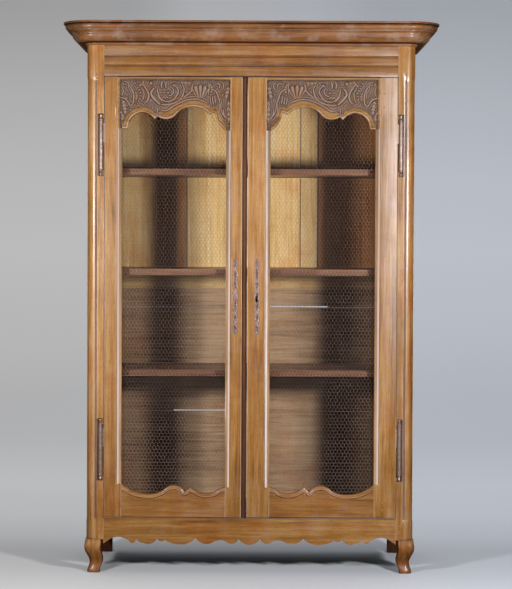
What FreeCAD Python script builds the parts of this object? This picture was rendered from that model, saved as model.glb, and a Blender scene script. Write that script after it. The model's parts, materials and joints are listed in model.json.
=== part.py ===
import FreeCAD, Part
import math
import os
from FreeCAD import Vector

os.makedirs("parts", exist_ok=True)

# Two-door armoire with netted doors, in millimetres.
# X runs across the front, Y from front to back, Z up from the floor.
# Left-hand pieces are modelled and mirrored to the right, since the frame is symmetrical.

# Whole cabinet
TOTAL_HEIGHT = 2200.0
BODY_WIDTH = 1312.0
BODY_DEPTH = 520.0

# Fits
JOINT_PLAY = 0.2
BOARD_PLAY = 0.4
PEG_PLAY = 0.05

# How far a cut reaches past the face that it opens
CUT_OVER = 1.0

# Cornice profile, outward from the front of the frame and up from its top
CORNICE_HEIGHT = 90.0
CORNICE_OVERHANG = 95.0
CORNICE_SEAT = 26.0
CORNICE_BEAD = 15.0
CORNICE_FILLET = 5.0
CORNICE_SOFFIT = 34.0
CORNICE_OGEE_BULGE = 26.0
CORNICE_OGEE_HOLLOW = 13.0
CORNICE_TORUS = 24.0
CORNICE_TORUS_BULGE = 10.0

# Front posts with their corner columns
FRONT_POST_WIDTH = 70.0
FRONT_POST_DEPTH = 60.0
COLUMN_RADIUS = 34.0
COLUMN_RECESS = 3.0
COLUMN_STOP = 14.0
COLUMN_FOOT_BLOCK = 72.0
COLUMN_HEAD_BLOCK = 126.0
QUIRK_WIDTH = 9.0
QUIRK_DEPTH = 6.0

# Cabriole feet of the front posts
FOOT_HEIGHT = 135.0
KNEE_HEIGHT = 100.0
ANKLE_HEIGHT = 42.0
TOE_HEIGHT = 14.0
KNEE_LIP = 3.5
KNEE_BULGE = 7.0
ANKLE_HOLLOW = 13.0
TOE_HOLLOW = 5.0
TOE_SLOPE = 1.0
KNEE_WIDTH = 65.0
ANKLE_WIDTH = 52.0
TOE_WIDTH = 49.0
FOOT_CORNER_RADIUS = 20.0
FOOT_EDGE_RADIUS = 6.0

# Rear posts
REAR_POST_WIDTH = 67.0
REAR_POST_DEPTH = 48.0

# Front rails
RAIL_SETBACK = 3.0
FRIEZE_HEIGHT = 122.0
FRIEZE_GROOVE_WIDTH = 9.0
FRIEZE_GROOVE_DEPTH = 4.0
FRIEZE_UPPER_GROOVE = 80.0
FRIEZE_LOWER_GROOVE = 44.0
APRON_TOP = 222.0
APRON_HEIGHT = 108.0
FRONT_RAIL_DEPTH = 46.0
FRONT_TENON_LENGTH = 40.0
FRONT_TENON_THICKNESS = 12.0
FRONT_TENON_SETBACK = 11.0
FRONT_TENON_SHOULDER = 18.0
APRON_TENON_HEIGHT = 54.0

# Side and back frames
SIDE_SETBACK = 6.0
BACK_SETBACK = 8.0
FRAME_THICKNESS = 30.0
TOP_RAIL_HEIGHT = 110.0
MIDDLE_RAIL_HEIGHT = 90.0
BOTTOM_RAIL_BASE = 132.0
BOTTOM_RAIL_HEIGHT = 116.0
TENON_LENGTH = 26.0
TENON_THICKNESS = 10.0
TENON_SHOULDER = 14.0
GROOVE_DEPTH = 10.0
GROOVE_WIDTH = 9.0
PANEL_FIELD_RISE = 5.0
PANEL_BEVEL = 34.0
BACK_BOARD_THICKNESS = 12.0
BACK_BOARD_SEAM = 0.8
BACK_SEAMS = (-273.0, -181.0, 12.0, 208.0, 281.0)
LYING_BOARD_FIRST = 81.0
LYING_BOARD_WIDTH = 222.0
SHRINKAGE_GAP = 5.0
SHRINKAGE_NEAR = 20.0
SHRINKAGE_FAR = 328.0

# Boards and shelves
TOP_BOARD_THICKNESS = 18.0
FLOOR_THICKNESS = 20.0
FLOOR_RISE = 10.0
BOARD_REBATE = 12.0
BOARD_COUNT = 3
SHELF_THICKNESS = 24.0
SHELF_SETBACK = 68.0
LOWER_SHELF_TOP = 810.0
MIDDLE_SHELF_TOP = 1218.0
UPPER_SHELF_TOP = 1622.0
CLEAT_SIZE = 24.0

# Doors
DOOR_GAP = 2.0
DOOR_SETBACK = 1.0
DOOR_THICKNESS = 30.0
DOOR_STOP_GAP = 0.5
DOOR_STOP_LAP = 12.0
MEETING_X = -13.3
MEETING_GAP = 3.0
LEFT_HINGE_WIDTH = 69.0
RIGHT_HINGE_WIDTH = 86.5
LEFT_MEETING_WIDTH = 84.5
RIGHT_MEETING_WIDTH = 90.0
MEETING_REBATE_WIDTH = 20.0
MEETING_REBATE_DEPTH = 15.0
LIP_DEPTH = 6.0
LIP_WIDTH = 9.0
LIP_HOLLOW = (0.7, 0.85)
BEAD_WIDTH = 9.0
BEAD_QUIRK = 2.0
FIELD_RECESS = 3.0
TOP_SHOULDER = 18.0
TOP_RAIL_DROP = 208.0
DOOR_TENON_LENGTH = 36.0
DOOR_TENON_THICKNESS = 10.0
DOOR_TENON_SETBACK = 11.0
TOP_TENON_HEIGHT = 110.0
TOP_TENON_SHOULDER = 36.0
BOTTOM_TENON_HEIGHT = 58.0
BOTTOM_TENON_SHOULDER = 18.0

# Wave of a door's top rail and bowls of its bottom rail, from the hinge stile to the meeting stile:
# each point is a share of the opening's width and a height in millimetres above the rail's own line,
# and a pair of points is an arc through the first to the second.
TOP_WAVE_START = (0.0, 1.5)
TOP_WAVE = (
    ((0.058, 1.5),),
    ((0.108, 52.0), (0.203, 67.0)),
    ((0.262, 58.0), (0.313, 38.0)),
    ((0.342, 50.0),),
    ((0.425, 39.5), (0.509, 54.0)),
    ((0.674, 90.0), (0.839, 60.0)),
    ((0.887, 69.0),),
    ((0.924, 26.0), (1.0, -5.0)),
)
BOTTOM_WAVE_START = (0.0, 134.0)
BOTTOM_WAVE = (
    ((0.084, 108.0), (0.240, 91.0)),
    ((0.330, 94.0), (0.400, 106.0)),
    ((0.510, 126.0), (0.590, 115.0)),
    ((0.616, 102.0),),
    ((0.667, 123.0),),
    ((0.790, 95.0), (0.905, 101.5)),
    ((0.941, 112.5),),
    ((1.0, 121.0),),
)

# Scallops of the apron's lower edge, from the middle outwards: distance from the middle and rise above
# the lowest lobe, as arcs through the first point to the second.
APRON_LOBE = (44.0, 24.0)
APRON_SCALLOPS = (
    ((60.0, 6.0), (86.0, 8.0)),
    ((116.0, 18.0), (146.0, 9.0)),
    ((184.0, 4.0), (216.0, 26.0)),
    ((244.0, 6.0), (276.0, 0.0)),
    ((312.0, 6.0), (340.0, 18.0)),
    ((360.0, 14.0), (370.0, 24.0)),
    ((392.0, 4.0), (424.0, 6.0)),
    ((444.0, 12.0), (455.0, 22.0)),
    ((462.0, 8.0), (476.0, 7.0)),
    ((520.0, 30.0), (562.0, 20.0)),
)
APRON_EAR_RISE = 3.0

# Wire net, drawn coarse here
NET_THICKNESS = 1.6
NET_COLUMNS = 6
NET_STRAND = 3.0
NET_LAP = 14.0

# Barrel hinges
HINGE_LENGTH = 248.0
HINGE_END_DISTANCE = 148.0
HINGE_RADIUS = 7.5
HINGE_INSET = 13.0
HINGE_GROOVE_PLAY = 0.4
HINGE_KNUCKLE_GAP = 0.3
FINIAL_LENGTH = 28.0
PIN_RADIUS = 3.0
PIN_HALF_LENGTH = 60.0
PIN_PRESS_PLAY = 0.02
PIN_RUN_PLAY = 0.06
BLADE_THICKNESS = 3.0
BLADE_REACH = 30.0
BLADE_MARGIN = 10.0

# Finial of a hinge from its tip: shares of the barrel's radius and of the finial's length
FINIAL_ARCS = (
    ((0.56, 0.07), (0.75, 0.28)),
    ((0.60, 0.48), (0.43, 0.62)),
    ((1.0, 0.80), (0.85, 0.95)),
    ((1.0, 1.0),),
)

# Pegs, eight-sided as whittled
PEG_RADIUS = 4.2
PEG_SIDES = 8
PEG_PROUD = 0.6
PEG_LENGTH = 36.0
PEG_FROM_SHOULDER = 16.0

# Escutcheons and lock
PLATE_LENGTH = 308.0
PLATE_THICKNESS = 2.0
PLATE_LOBES = 7
PLATE_NECK = 6.0
PLATE_BULGE = 10.5
PLATE_CENTRE_BULGE = 13.0
PLATE_PIERCING_RADIUS = 3.2
PLATE_HEIGHT = 886.0
LEFT_PLATE_EDGE = 46.0
RIGHT_PLATE_EDGE = 38.0
KEYHOLE_RADIUS = 4.5
KEYHOLE_SLOT_WIDTH = 6.0
KEYHOLE_SLOT_LENGTH = 20.0
LOCK_WIDTH = 58.0
LOCK_HEIGHT = 92.0
LOCK_DEPTH = 19.0
LOCK_EDGE = 9.0
LOCK_WALL = 4.0
BOLT_HEIGHT = 16.0
BOLT_THICKNESS = 8.0
BOLT_PLAY = 0.3
LOCK_BOLT_TRAVEL = 28.0
STRIKE_WIDTH = 28.0
STRIKE_HEIGHT = 50.0
STRIKE_THICKNESS = 3.0

# Slide bolt of the left leaf
LEAF_BOLT_WIDTH = 12.0
LEAF_BOLT_LENGTH = 420.0
LEAF_BOLT_EDGE = 34.0
LEAF_BOLT_STANDOFF = 3.0
LEAF_BOLT_CLEAR = 4.0
LEAF_BOLT_TRAVEL = 26.0
GUIDE_WIDTH = 30.0
GUIDE_HEIGHT = 26.0
GUIDE_WALL = 3.0
GUIDE_HEAD_DISTANCE = 60.0
GUIDE_SPACING = 280.0
BOLT_KNOB_RADIUS = 7.0
BOLT_KNOB_NECK = 5.6
BOLT_KNOB_REACH = 18.0

# Planes and levels worked out from the sizes above
HALF = BODY_WIDTH / 2
BACK_Y = (BODY_DEPTH + CORNICE_OVERHANG) / 2
FRONT_Y = BACK_Y - BODY_DEPTH
CARCASE_TOP = TOTAL_HEIGHT - CORNICE_HEIGHT
FRONT_POST_X = -HALF + FRONT_POST_WIDTH
FRONT_POST_Y = FRONT_Y + FRONT_POST_DEPTH
REAR_POST_X = -HALF + REAR_POST_WIDTH
REAR_POST_Y = BACK_Y - REAR_POST_DEPTH
RAIL_Y = FRONT_Y + RAIL_SETBACK
RAIL_BACK_Y = RAIL_Y + FRONT_RAIL_DEPTH
FRIEZE_BOTTOM = CARCASE_TOP - FRIEZE_HEIGHT
APRON_BOTTOM = APRON_TOP - APRON_HEIGHT
COLUMN_BOTTOM = FOOT_HEIGHT + COLUMN_FOOT_BLOCK
COLUMN_TOP = CARCASE_TOP - COLUMN_HEAD_BLOCK
SIDE_X = -HALF + SIDE_SETBACK
SIDE_INNER_X = SIDE_X + FRAME_THICKNESS
SIDE_MID_X = (SIDE_X + SIDE_INNER_X) / 2
BACK_FRAME_Y = BACK_Y - BACK_SETBACK
BACK_INNER_Y = BACK_FRAME_Y - FRAME_THICKNESS
BACK_MID_Y = (BACK_FRAME_Y + BACK_INNER_Y) / 2
TOP_RAIL_BOTTOM = CARCASE_TOP - TOP_RAIL_HEIGHT
MIDDLE_RAIL_TOP = MIDDLE_SHELF_TOP
MIDDLE_RAIL_BOTTOM = MIDDLE_RAIL_TOP - MIDDLE_RAIL_HEIGHT
BOTTOM_RAIL_TOP = BOTTOM_RAIL_BASE + BOTTOM_RAIL_HEIGHT
POST_GROOVE_LEVELS = (BOTTOM_RAIL_TOP - GROOVE_DEPTH, TOP_RAIL_BOTTOM + GROOVE_DEPTH)
DOOR_Y = FRONT_Y + DOOR_SETBACK
DOOR_BACK_Y = DOOR_Y + DOOR_THICKNESS
DOOR_EDGE_X = FRONT_POST_X + DOOR_GAP
DOOR_BOTTOM = APRON_TOP + DOOR_GAP
DOOR_TOP = FRIEZE_BOTTOM - DOOR_GAP
STOP_Y = DOOR_BACK_Y + DOOR_STOP_GAP
STOP_BOTTOM = DOOR_TOP - DOOR_STOP_LAP
FLOOR_TOP = DOOR_BOTTOM + FLOOR_RISE
LEFT_MEETING_EDGE = MEETING_X - MEETING_GAP / 2
RIGHT_MEETING_EDGE = MEETING_X + MEETING_GAP / 2
HINGE_X = FRONT_POST_X - HINGE_INSET
HINGE_Y = FRONT_Y
HINGE_BASES = (DOOR_BOTTOM + HINGE_END_DISTANCE, DOOR_TOP - HINGE_END_DISTANCE - HINGE_LENGTH)
LOCK_Z = DOOR_BOTTOM + PLATE_HEIGHT
SHELF_TOPS = (LOWER_SHELF_TOP, MIDDLE_SHELF_TOP, UPPER_SHELF_TOP)


def block(x, y, z):
    """Box between pairs of limits."""
    return Part.makeBox(x[1] - x[0], y[1] - y[0], z[1] - z[0], Vector(x[0], y[0], z[0]))


def grown(limits, play):
    """Limits of a box widened on every face."""
    return tuple((low - play, high + play) for low, high in limits)


def mirrored(shape):
    """The right-hand copy of a left-hand piece."""
    return shape.mirror(Vector(0, 0, 0), Vector(1, 0, 0))


def front_view(y):
    return lambda x, z: Vector(x, y, z)


def side_view(x):
    return lambda y, z: Vector(x, y, z)


def plan_view(z):
    return lambda x, y: Vector(x, y, z)


def closed_wire(start, steps, place):
    """Closed outline: a step of one point is a line, a step of two an arc through the first."""
    edges = []
    here = start
    closing = [] if steps[-1][-1] == start else [(start,)]
    for step in list(steps) + closing:
        end = step[-1]
        if len(step) == 2:
            edges.append(Part.Arc(place(*here), place(*step[0]), place(*end)).toShape())
        else:
            edges.append(Part.LineSegment(place(*here), place(*end)).toShape())
        here = end
    return Part.Wire(edges)


def prism(start, steps, place, along):
    """Solid of a closed outline pushed along a vector."""
    return Part.Face(closed_wire(start, steps, place)).extrude(along)


def cut_all(shape, tools):
    """A piece with its mortises, grooves and holes."""
    return shape.cut(Part.makeCompound(tools)) if tools else shape


def save(name, shapes):
    """Write one node; several shapes are a group of separate solids."""
    solids = [solid for shape in shapes for solid in shape.Solids]
    whole = solids[0] if len(solids) == 1 else Part.makeCompound(solids)
    whole.exportStep("parts/" + name + ".step")


def peg(start, along, radius=PEG_RADIUS):
    """Many-sided peg from a point along a level vector."""
    axis = Vector(along)
    axis.normalize()
    up = Vector(0, 0, 1)
    across = axis.cross(up)
    points = []
    for corner in range(PEG_SIDES + 1):
        angle = 2 * math.pi * (corner + 0.5) / PEG_SIDES
        points.append(start + up * (radius * math.cos(angle)) + across * (radius * math.sin(angle)))
    return Part.Face(Part.makePolygon(points)).extrude(along)


def peg_hole(start, along):
    """Hole that a peg fills."""
    return peg(start, along, PEG_RADIUS + PEG_PLAY)


def sloped_trench(depth_axis, surface, inward, across, bottom, top):
    """Upright trench in a face, with sloped ends; depth_axis is "x" or "y"."""
    deep = surface + inward * QUIRK_DEPTH
    clear = surface - inward * QUIRK_DEPTH
    steps = (
        ((deep, top - COLUMN_STOP),),
        ((clear, top + COLUMN_STOP),),
        ((clear, bottom - COLUMN_STOP),),
    )
    start = (deep, bottom + COLUMN_STOP)
    if depth_axis == "y":
        return prism(start, steps, side_view(across[0]), Vector(across[1] - across[0], 0, 0))
    return prism(start, steps, front_view(across[0]), Vector(0, across[1] - across[0], 0))


# Joints of the frame, as limits of each tenon on the left-hand side

def front_tenon(bottom, top):
    y = RAIL_Y + FRONT_TENON_SETBACK
    return (
        (FRONT_POST_X - FRONT_TENON_LENGTH, FRONT_POST_X),
        (y, y + FRONT_TENON_THICKNESS),
        (bottom, top),
    )


FRIEZE_TENON = front_tenon(FRIEZE_BOTTOM + FRONT_TENON_SHOULDER, CARCASE_TOP - FRONT_TENON_SHOULDER)
APRON_TENON_TOP = APRON_TOP - FRONT_TENON_SHOULDER
APRON_TENON = front_tenon(APRON_TENON_TOP - APRON_TENON_HEIGHT, APRON_TENON_TOP)

SIDE_RAILS = {
    "top": (TOP_RAIL_BOTTOM, CARCASE_TOP),
    "middle": (MIDDLE_RAIL_BOTTOM, MIDDLE_RAIL_TOP),
    "bottom": (BOTTOM_RAIL_BASE, BOTTOM_RAIL_TOP),
}


def tenon_levels(rail):
    bottom, top = SIDE_RAILS[rail]
    lowered = TOP_BOARD_THICKNESS if rail == "top" else 0.0
    return (bottom + TENON_SHOULDER, top - TENON_SHOULDER - lowered)


def side_tenons(rail):
    """Front and rear tenon of a left side rail."""
    x = (SIDE_MID_X - TENON_THICKNESS / 2, SIDE_MID_X + TENON_THICKNESS / 2)
    z = tenon_levels(rail)
    return (
        (x, (FRONT_POST_Y - TENON_LENGTH, FRONT_POST_Y), z),
        (x, (REAR_POST_Y, REAR_POST_Y + TENON_LENGTH), z),
    )


def back_tenon(rail):
    """Left tenon of a back rail."""
    y = (BACK_MID_Y - TENON_THICKNESS / 2, BACK_MID_Y + TENON_THICKNESS / 2)
    return ((REAR_POST_X - TENON_LENGTH, REAR_POST_X), y, tenon_levels(rail))


def peg_levels(z):
    """Heights of the two pegs of a tenon."""
    quarter = (z[1] - z[0]) / 4
    return (z[0] + quarter, z[1] - quarter)


def front_peg_places():
    x = FRONT_POST_X - PEG_FROM_SHOULDER
    return [
        Vector(x, FRONT_Y - PEG_PROUD, z)
        for tenon in (FRIEZE_TENON, APRON_TENON)
        for z in peg_levels(tenon[2])
    ]


def side_peg_places():
    """Pegs of the side rails in the front post, then in the rear post."""
    front = []
    rear = []
    for rail in SIDE_RAILS:
        for z in peg_levels(tenon_levels(rail)):
            front.append(Vector(-HALF - PEG_PROUD, FRONT_POST_Y - TENON_LENGTH / 2, z))
            rear.append(Vector(-HALF - PEG_PROUD, REAR_POST_Y + TENON_LENGTH / 2, z))
    return front, rear


def back_peg_places():
    x = REAR_POST_X - TENON_LENGTH / 2
    return [
        Vector(x, BACK_Y, z)
        for rail in SIDE_RAILS
        for z in peg_levels(tenon_levels(rail))
    ]


INTO_FRONT = Vector(0, PEG_LENGTH, 0)
INTO_SIDE = Vector(PEG_LENGTH, 0, 0)
INTO_BACK = Vector(0, -PEG_LENGTH, 0)


PANEL_GROOVE_X = (SIDE_MID_X - GROOVE_WIDTH / 2, SIDE_MID_X + GROOVE_WIDTH / 2)


def panel_groove_in_post(y):
    """Upright groove for the side panels."""
    return block(PANEL_GROOVE_X, y, POST_GROOVE_LEVELS)


def back_board_limits():
    half = BACK_BOARD_THICKNESS / 2
    return (BACK_MID_Y - half, BACK_MID_Y + half)


def back_board_groove():
    low, high = back_board_limits()
    return (low - BOARD_PLAY, high + BOARD_PLAY)


# Hinges

def hinge_middle(base):
    return base + HINGE_LENGTH / 2


def blade_levels(low, high):
    return (low + BLADE_MARGIN, high - BLADE_MARGIN)


def barrel(end, joint):
    """Turned half of a hinge, from its finial's tip to the face where the two halves meet."""
    way = 1.0 if joint > end else -1.0
    profile = []
    for arc in FINIAL_ARCS:
        profile.append(tuple((HINGE_RADIUS * out, end + way * FINIAL_LENGTH * along) for out, along in arc))
    steps = profile + [((HINGE_RADIUS, joint),), ((0.0, joint),)]
    wire = closed_wire((0.0, end), steps, lambda r, z: Vector(HINGE_X + r, HINGE_Y, z))
    return Part.Face(wire).revolve(Vector(HINGE_X, HINGE_Y, 0), Vector(0, 0, 1), 360)


def post_blade(base):
    return (
        (HINGE_X - BLADE_THICKNESS / 2, HINGE_X + BLADE_THICKNESS / 2),
        (HINGE_Y + HINGE_RADIUS - BLADE_THICKNESS, HINGE_Y + HINGE_RADIUS + BLADE_REACH),
        blade_levels(base + FINIAL_LENGTH, hinge_middle(base)),
    )


def door_blade(base):
    return (
        (HINGE_X, DOOR_EDGE_X + BLADE_REACH),
        (HINGE_Y + HINGE_RADIUS - BLADE_THICKNESS, HINGE_Y + HINGE_RADIUS),
        blade_levels(hinge_middle(base), base + HINGE_LENGTH - FINIAL_LENGTH),
    )


def pin_bore(low, high, play):
    return Part.makeCylinder(PIN_RADIUS + play, high - low, Vector(HINGE_X, HINGE_Y, low))


def hinge_post_half(base):
    middle = hinge_middle(base)
    half = barrel(base, middle).fuse(block(*post_blade(base)))
    return half.cut(pin_bore(middle - PIN_HALF_LENGTH, middle + CUT_OVER, PIN_PRESS_PLAY))


def hinge_door_half(base):
    joint = hinge_middle(base) + HINGE_KNUCKLE_GAP
    half = barrel(base + HINGE_LENGTH, joint).fuse(block(*door_blade(base)))
    return half.cut(pin_bore(joint - CUT_OVER, joint + PIN_HALF_LENGTH, PIN_RUN_PLAY))


def hinge_pin(base):
    middle = hinge_middle(base)
    return pin_bore(middle - PIN_HALF_LENGTH, middle + PIN_HALF_LENGTH, 0.0)


def hinge_cuts_in_post():
    """Cove for each barrel, mortise for the fixed blade and a gain beside the barrel for the moving one."""
    radius = HINGE_RADIUS + HINGE_GROOVE_PLAY
    length = HINGE_LENGTH + 2 * CUT_OVER
    cuts = []
    for base in HINGE_BASES:
        cuts.append(Part.makeCylinder(radius, length, Vector(HINGE_X, HINGE_Y, base - CUT_OVER)))
        cuts.append(block(*grown(post_blade(base), JOINT_PLAY)))
        gain_y = (FRONT_Y - CUT_OVER, HINGE_Y + radius)
        cuts.append(block((HINGE_X, FRONT_POST_X + CUT_OVER), gain_y, (base, base + HINGE_LENGTH)))
    return cuts


# Posts

def foot_section(height, bulge, width):
    """Rounded square of a cabriole foot, pushed out towards the corner by the bulge."""
    x = -HALF - bulge
    y = FRONT_Y - bulge
    far_x = x + width
    far_y = y + width
    outer = FOOT_CORNER_RADIUS
    edge = FOOT_EDGE_RADIUS
    outer_mid = outer * (1 - math.sqrt(0.5))
    edge_mid = edge * (1 - math.sqrt(0.5))
    steps = (
        ((x + outer_mid, y + outer_mid), (x + outer, y)),
        ((far_x - edge, y),),
        ((far_x - edge_mid, y + edge_mid), (far_x, y + edge)),
        ((far_x, far_y - edge),),
        ((far_x - edge_mid, far_y - edge_mid), (far_x - edge, far_y)),
        ((x + edge, far_y),),
        ((x + edge_mid, far_y - edge_mid), (x, far_y - edge)),
    )
    return closed_wire((x, y + outer), steps, plan_view(height))


def cabriole_foot():
    """Short S-shaped foot: lip and knee, hollow ankle, turned-out toe."""
    calf_height = (ANKLE_HEIGHT + KNEE_HEIGHT) / 2
    calf_bulge = (KNEE_BULGE - ANKLE_HOLLOW) / 2
    calf_width = (ANKLE_WIDTH + KNEE_WIDTH) / 2
    sections = [
        foot_section(0.0, -TOE_HOLLOW, TOE_WIDTH),
        foot_section(TOE_HEIGHT, -TOE_HOLLOW - TOE_SLOPE, TOE_WIDTH),
        foot_section(ANKLE_HEIGHT, -ANKLE_HOLLOW, ANKLE_WIDTH),
        foot_section(calf_height, calf_bulge, calf_width),
        foot_section(KNEE_HEIGHT, KNEE_BULGE, KNEE_WIDTH),
        foot_section(FOOT_HEIGHT, KNEE_LIP, KNEE_WIDTH - KNEE_BULGE + KNEE_LIP),
    ]
    return Part.makeLoft(sections, True, False)


def column_recess():
    """Cut that sets the corner column back between its two blocks."""
    centre = Vector(-HALF + COLUMN_RADIUS, FRONT_Y + COLUMN_RADIUS, 0)
    inner = COLUMN_RADIUS - COLUMN_RECESS
    outer = COLUMN_RADIUS + COLUMN_RECESS
    steps = (
        ((inner, COLUMN_TOP - COLUMN_STOP),),
        ((outer, COLUMN_TOP + COLUMN_STOP),),
        ((outer, COLUMN_BOTTOM - COLUMN_STOP),),
    )
    start = (inner, COLUMN_BOTTOM + COLUMN_STOP)
    wire = closed_wire(start, steps, lambda r, z: Vector(centre.x - r, centre.y, z))
    return Part.Face(wire).revolve(centre, Vector(0, 0, 1), 90)


def front_post():
    corner_mid = COLUMN_RADIUS * (1 - math.sqrt(0.5))
    steps = (
        ((-HALF + corner_mid, FRONT_Y + corner_mid), (-HALF + COLUMN_RADIUS, FRONT_Y)),
        ((FRONT_POST_X, FRONT_Y),),
        ((FRONT_POST_X, FRONT_POST_Y),),
        ((-HALF, FRONT_POST_Y),),
    )
    start = (-HALF, FRONT_Y + COLUMN_RADIUS)
    shaft = prism(start, steps, plan_view(FOOT_HEIGHT), Vector(0, 0, CARCASE_TOP - FOOT_HEIGHT))
    quirk_x = -HALF + COLUMN_RADIUS
    quirk_y = FRONT_Y + COLUMN_RADIUS
    cuts = [
        column_recess(),
        sloped_trench("y", FRONT_Y, 1.0, (quirk_x, quirk_x + QUIRK_WIDTH), COLUMN_BOTTOM, COLUMN_TOP),
        sloped_trench("x", -HALF, 1.0, (quirk_y, quirk_y + QUIRK_WIDTH), COLUMN_BOTTOM, COLUMN_TOP),
        block(*grown(FRIEZE_TENON, JOINT_PLAY)),
        block(*grown(APRON_TENON, JOINT_PLAY)),
        panel_groove_in_post((FRONT_POST_Y - GROOVE_DEPTH, FRONT_POST_Y + CUT_OVER)),
    ]
    cuts += [block(*grown(side_tenons(rail)[0], JOINT_PLAY)) for rail in SIDE_RAILS]
    cuts += [peg_hole(place, INTO_FRONT) for place in front_peg_places()]
    cuts += [peg_hole(place, INTO_SIDE) for place in side_peg_places()[0]]
    cuts += hinge_cuts_in_post()
    return cut_all(shaft.fuse(cabriole_foot()), cuts)


def rear_post():
    shaft = block((-HALF, REAR_POST_X), (REAR_POST_Y, BACK_Y), (0.0, CARCASE_TOP))
    board_groove = block(
        (REAR_POST_X - GROOVE_DEPTH, REAR_POST_X + CUT_OVER),
        back_board_groove(),
        POST_GROOVE_LEVELS,
    )
    cuts = [
        board_groove,
        panel_groove_in_post((REAR_POST_Y - CUT_OVER, REAR_POST_Y + GROOVE_DEPTH)),
    ]
    for rail in SIDE_RAILS:
        cuts.append(block(*grown(side_tenons(rail)[1], JOINT_PLAY)))
        cuts.append(block(*grown(back_tenon(rail), JOINT_PLAY)))
    cuts += [peg_hole(place, INTO_SIDE) for place in side_peg_places()[1]]
    cuts += [peg_hole(place, INTO_BACK) for place in back_peg_places()]
    return cut_all(shaft, cuts)


# Front rails

def both_sides(shapes):
    return list(shapes) + [mirrored(shape) for shape in shapes]


def leaf_bolt_limits(lift):
    """The left leaf's slide bolt, raised by a lift."""
    x = LEFT_MEETING_EDGE - LEAF_BOLT_EDGE
    y = DOOR_BACK_Y + LEAF_BOLT_STANDOFF
    top = STOP_BOTTOM - LEAF_BOLT_CLEAR + lift
    return (
        (x - LEAF_BOLT_WIDTH / 2, x + LEAF_BOLT_WIDTH / 2),
        (y, y + BOLT_THICKNESS),
        (top - LEAF_BOLT_LENGTH, top),
    )


def frieze_rail():
    """Grooved rail over the doors, with the lip that they close against behind."""
    steps = []
    for distance in (FRIEZE_LOWER_GROOVE, FRIEZE_UPPER_GROOVE):
        z = FRIEZE_BOTTOM + distance
        steps.append(((RAIL_Y, z - FRIEZE_GROOVE_WIDTH / 2),))
        steps.append(((RAIL_Y + FRIEZE_GROOVE_DEPTH, z), (RAIL_Y, z + FRIEZE_GROOVE_WIDTH / 2)))
    steps += [
        ((RAIL_Y, CARCASE_TOP),),
        ((RAIL_BACK_Y - BOARD_REBATE, CARCASE_TOP),),
        ((RAIL_BACK_Y - BOARD_REBATE, CARCASE_TOP - TOP_BOARD_THICKNESS),),
        ((RAIL_BACK_Y, CARCASE_TOP - TOP_BOARD_THICKNESS),),
        ((RAIL_BACK_Y, STOP_BOTTOM),),
        ((STOP_Y, STOP_BOTTOM),),
        ((STOP_Y, FRIEZE_BOTTOM),),
    ]
    rail = prism((RAIL_Y, FRIEZE_BOTTOM), steps, side_view(FRONT_POST_X), Vector(-2 * FRONT_POST_X, 0, 0))
    rail = rail.multiFuse(both_sides([block(*FRIEZE_TENON)]))
    holes = both_sides([peg_hole(place, INTO_FRONT) for place in front_peg_places()])
    holes.append(block(*grown(leaf_bolt_limits(LEAF_BOLT_TRAVEL), BOLT_PLAY * 2)))
    return cut_all(rail, holes)


def apron_rail():
    """Scalloped rail between the front feet, rebated behind for the floor boards."""
    low = APRON_BOTTOM
    right = [tuple((x, low + rise) for x, rise in step) for step in APRON_SCALLOPS]
    ear = (-FRONT_POST_X, low + APRON_EAR_RISE)
    right.append((ear,))
    ends = [(APRON_LOBE[0], low + APRON_LOBE[1])] + [step[-1] for step in right]
    left = []
    for number in reversed(range(len(right))):
        here = ends[number]
        mirrored_end = (-here[0], here[1])
        if len(right[number]) == 2:
            via = right[number][0]
            left.append(((-via[0], via[1]), mirrored_end))
        else:
            left.append((mirrored_end,))
    lobe = ((0.0, low), ends[0])
    steps = left + [lobe] + right + [((-FRONT_POST_X, APRON_TOP),), ((FRONT_POST_X, APRON_TOP),)]
    start = (FRONT_POST_X, ear[1])
    rail = prism(start, steps, front_view(RAIL_Y), Vector(0, FRONT_RAIL_DEPTH, 0))
    rail = rail.multiFuse(both_sides([block(*APRON_TENON)]))
    cuts = both_sides([peg_hole(place, INTO_FRONT) for place in front_peg_places()])
    rebate_y = (STOP_Y - BOARD_PLAY, RAIL_BACK_Y + CUT_OVER)
    cuts.append(block((-HALF, HALF), rebate_y, (FLOOR_TOP - FLOOR_THICKNESS, APRON_TOP + CUT_OVER)))
    return cut_all(rail, cuts)


# Side frames

def side_rail(rail):
    bottom, top = SIDE_RAILS[rail]
    body = block((SIDE_X, SIDE_INNER_X), (FRONT_POST_Y, REAR_POST_Y), (bottom, top))
    front, rear = side_tenons(rail)
    body = body.multiFuse([block(*front), block(*rear)])
    length = (FRONT_POST_Y, REAR_POST_Y)
    cuts = []
    if rail != "bottom":
        cuts.append(block(PANEL_GROOVE_X, length, (bottom - CUT_OVER, bottom + GROOVE_DEPTH)))
    if rail != "top":
        cuts.append(block(PANEL_GROOVE_X, length, (top - GROOVE_DEPTH, top + CUT_OVER)))
    if rail == "top":
        z = (CARCASE_TOP - TOP_BOARD_THICKNESS, CARCASE_TOP + CUT_OVER)
        cuts.append(block((SIDE_INNER_X - BOARD_REBATE, SIDE_INNER_X + CUT_OVER), length, z))
    if rail == "bottom":
        z = (FLOOR_TOP - FLOOR_THICKNESS, FLOOR_TOP + BOARD_PLAY)
        cuts.append(block((SIDE_INNER_X - GROOVE_DEPTH, SIDE_INNER_X + CUT_OVER), length, z))
    front_pegs, rear_pegs = side_peg_places()
    cuts += [peg_hole(place, INTO_SIDE) for place in front_pegs + rear_pegs]
    return cut_all(body, cuts)


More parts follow.
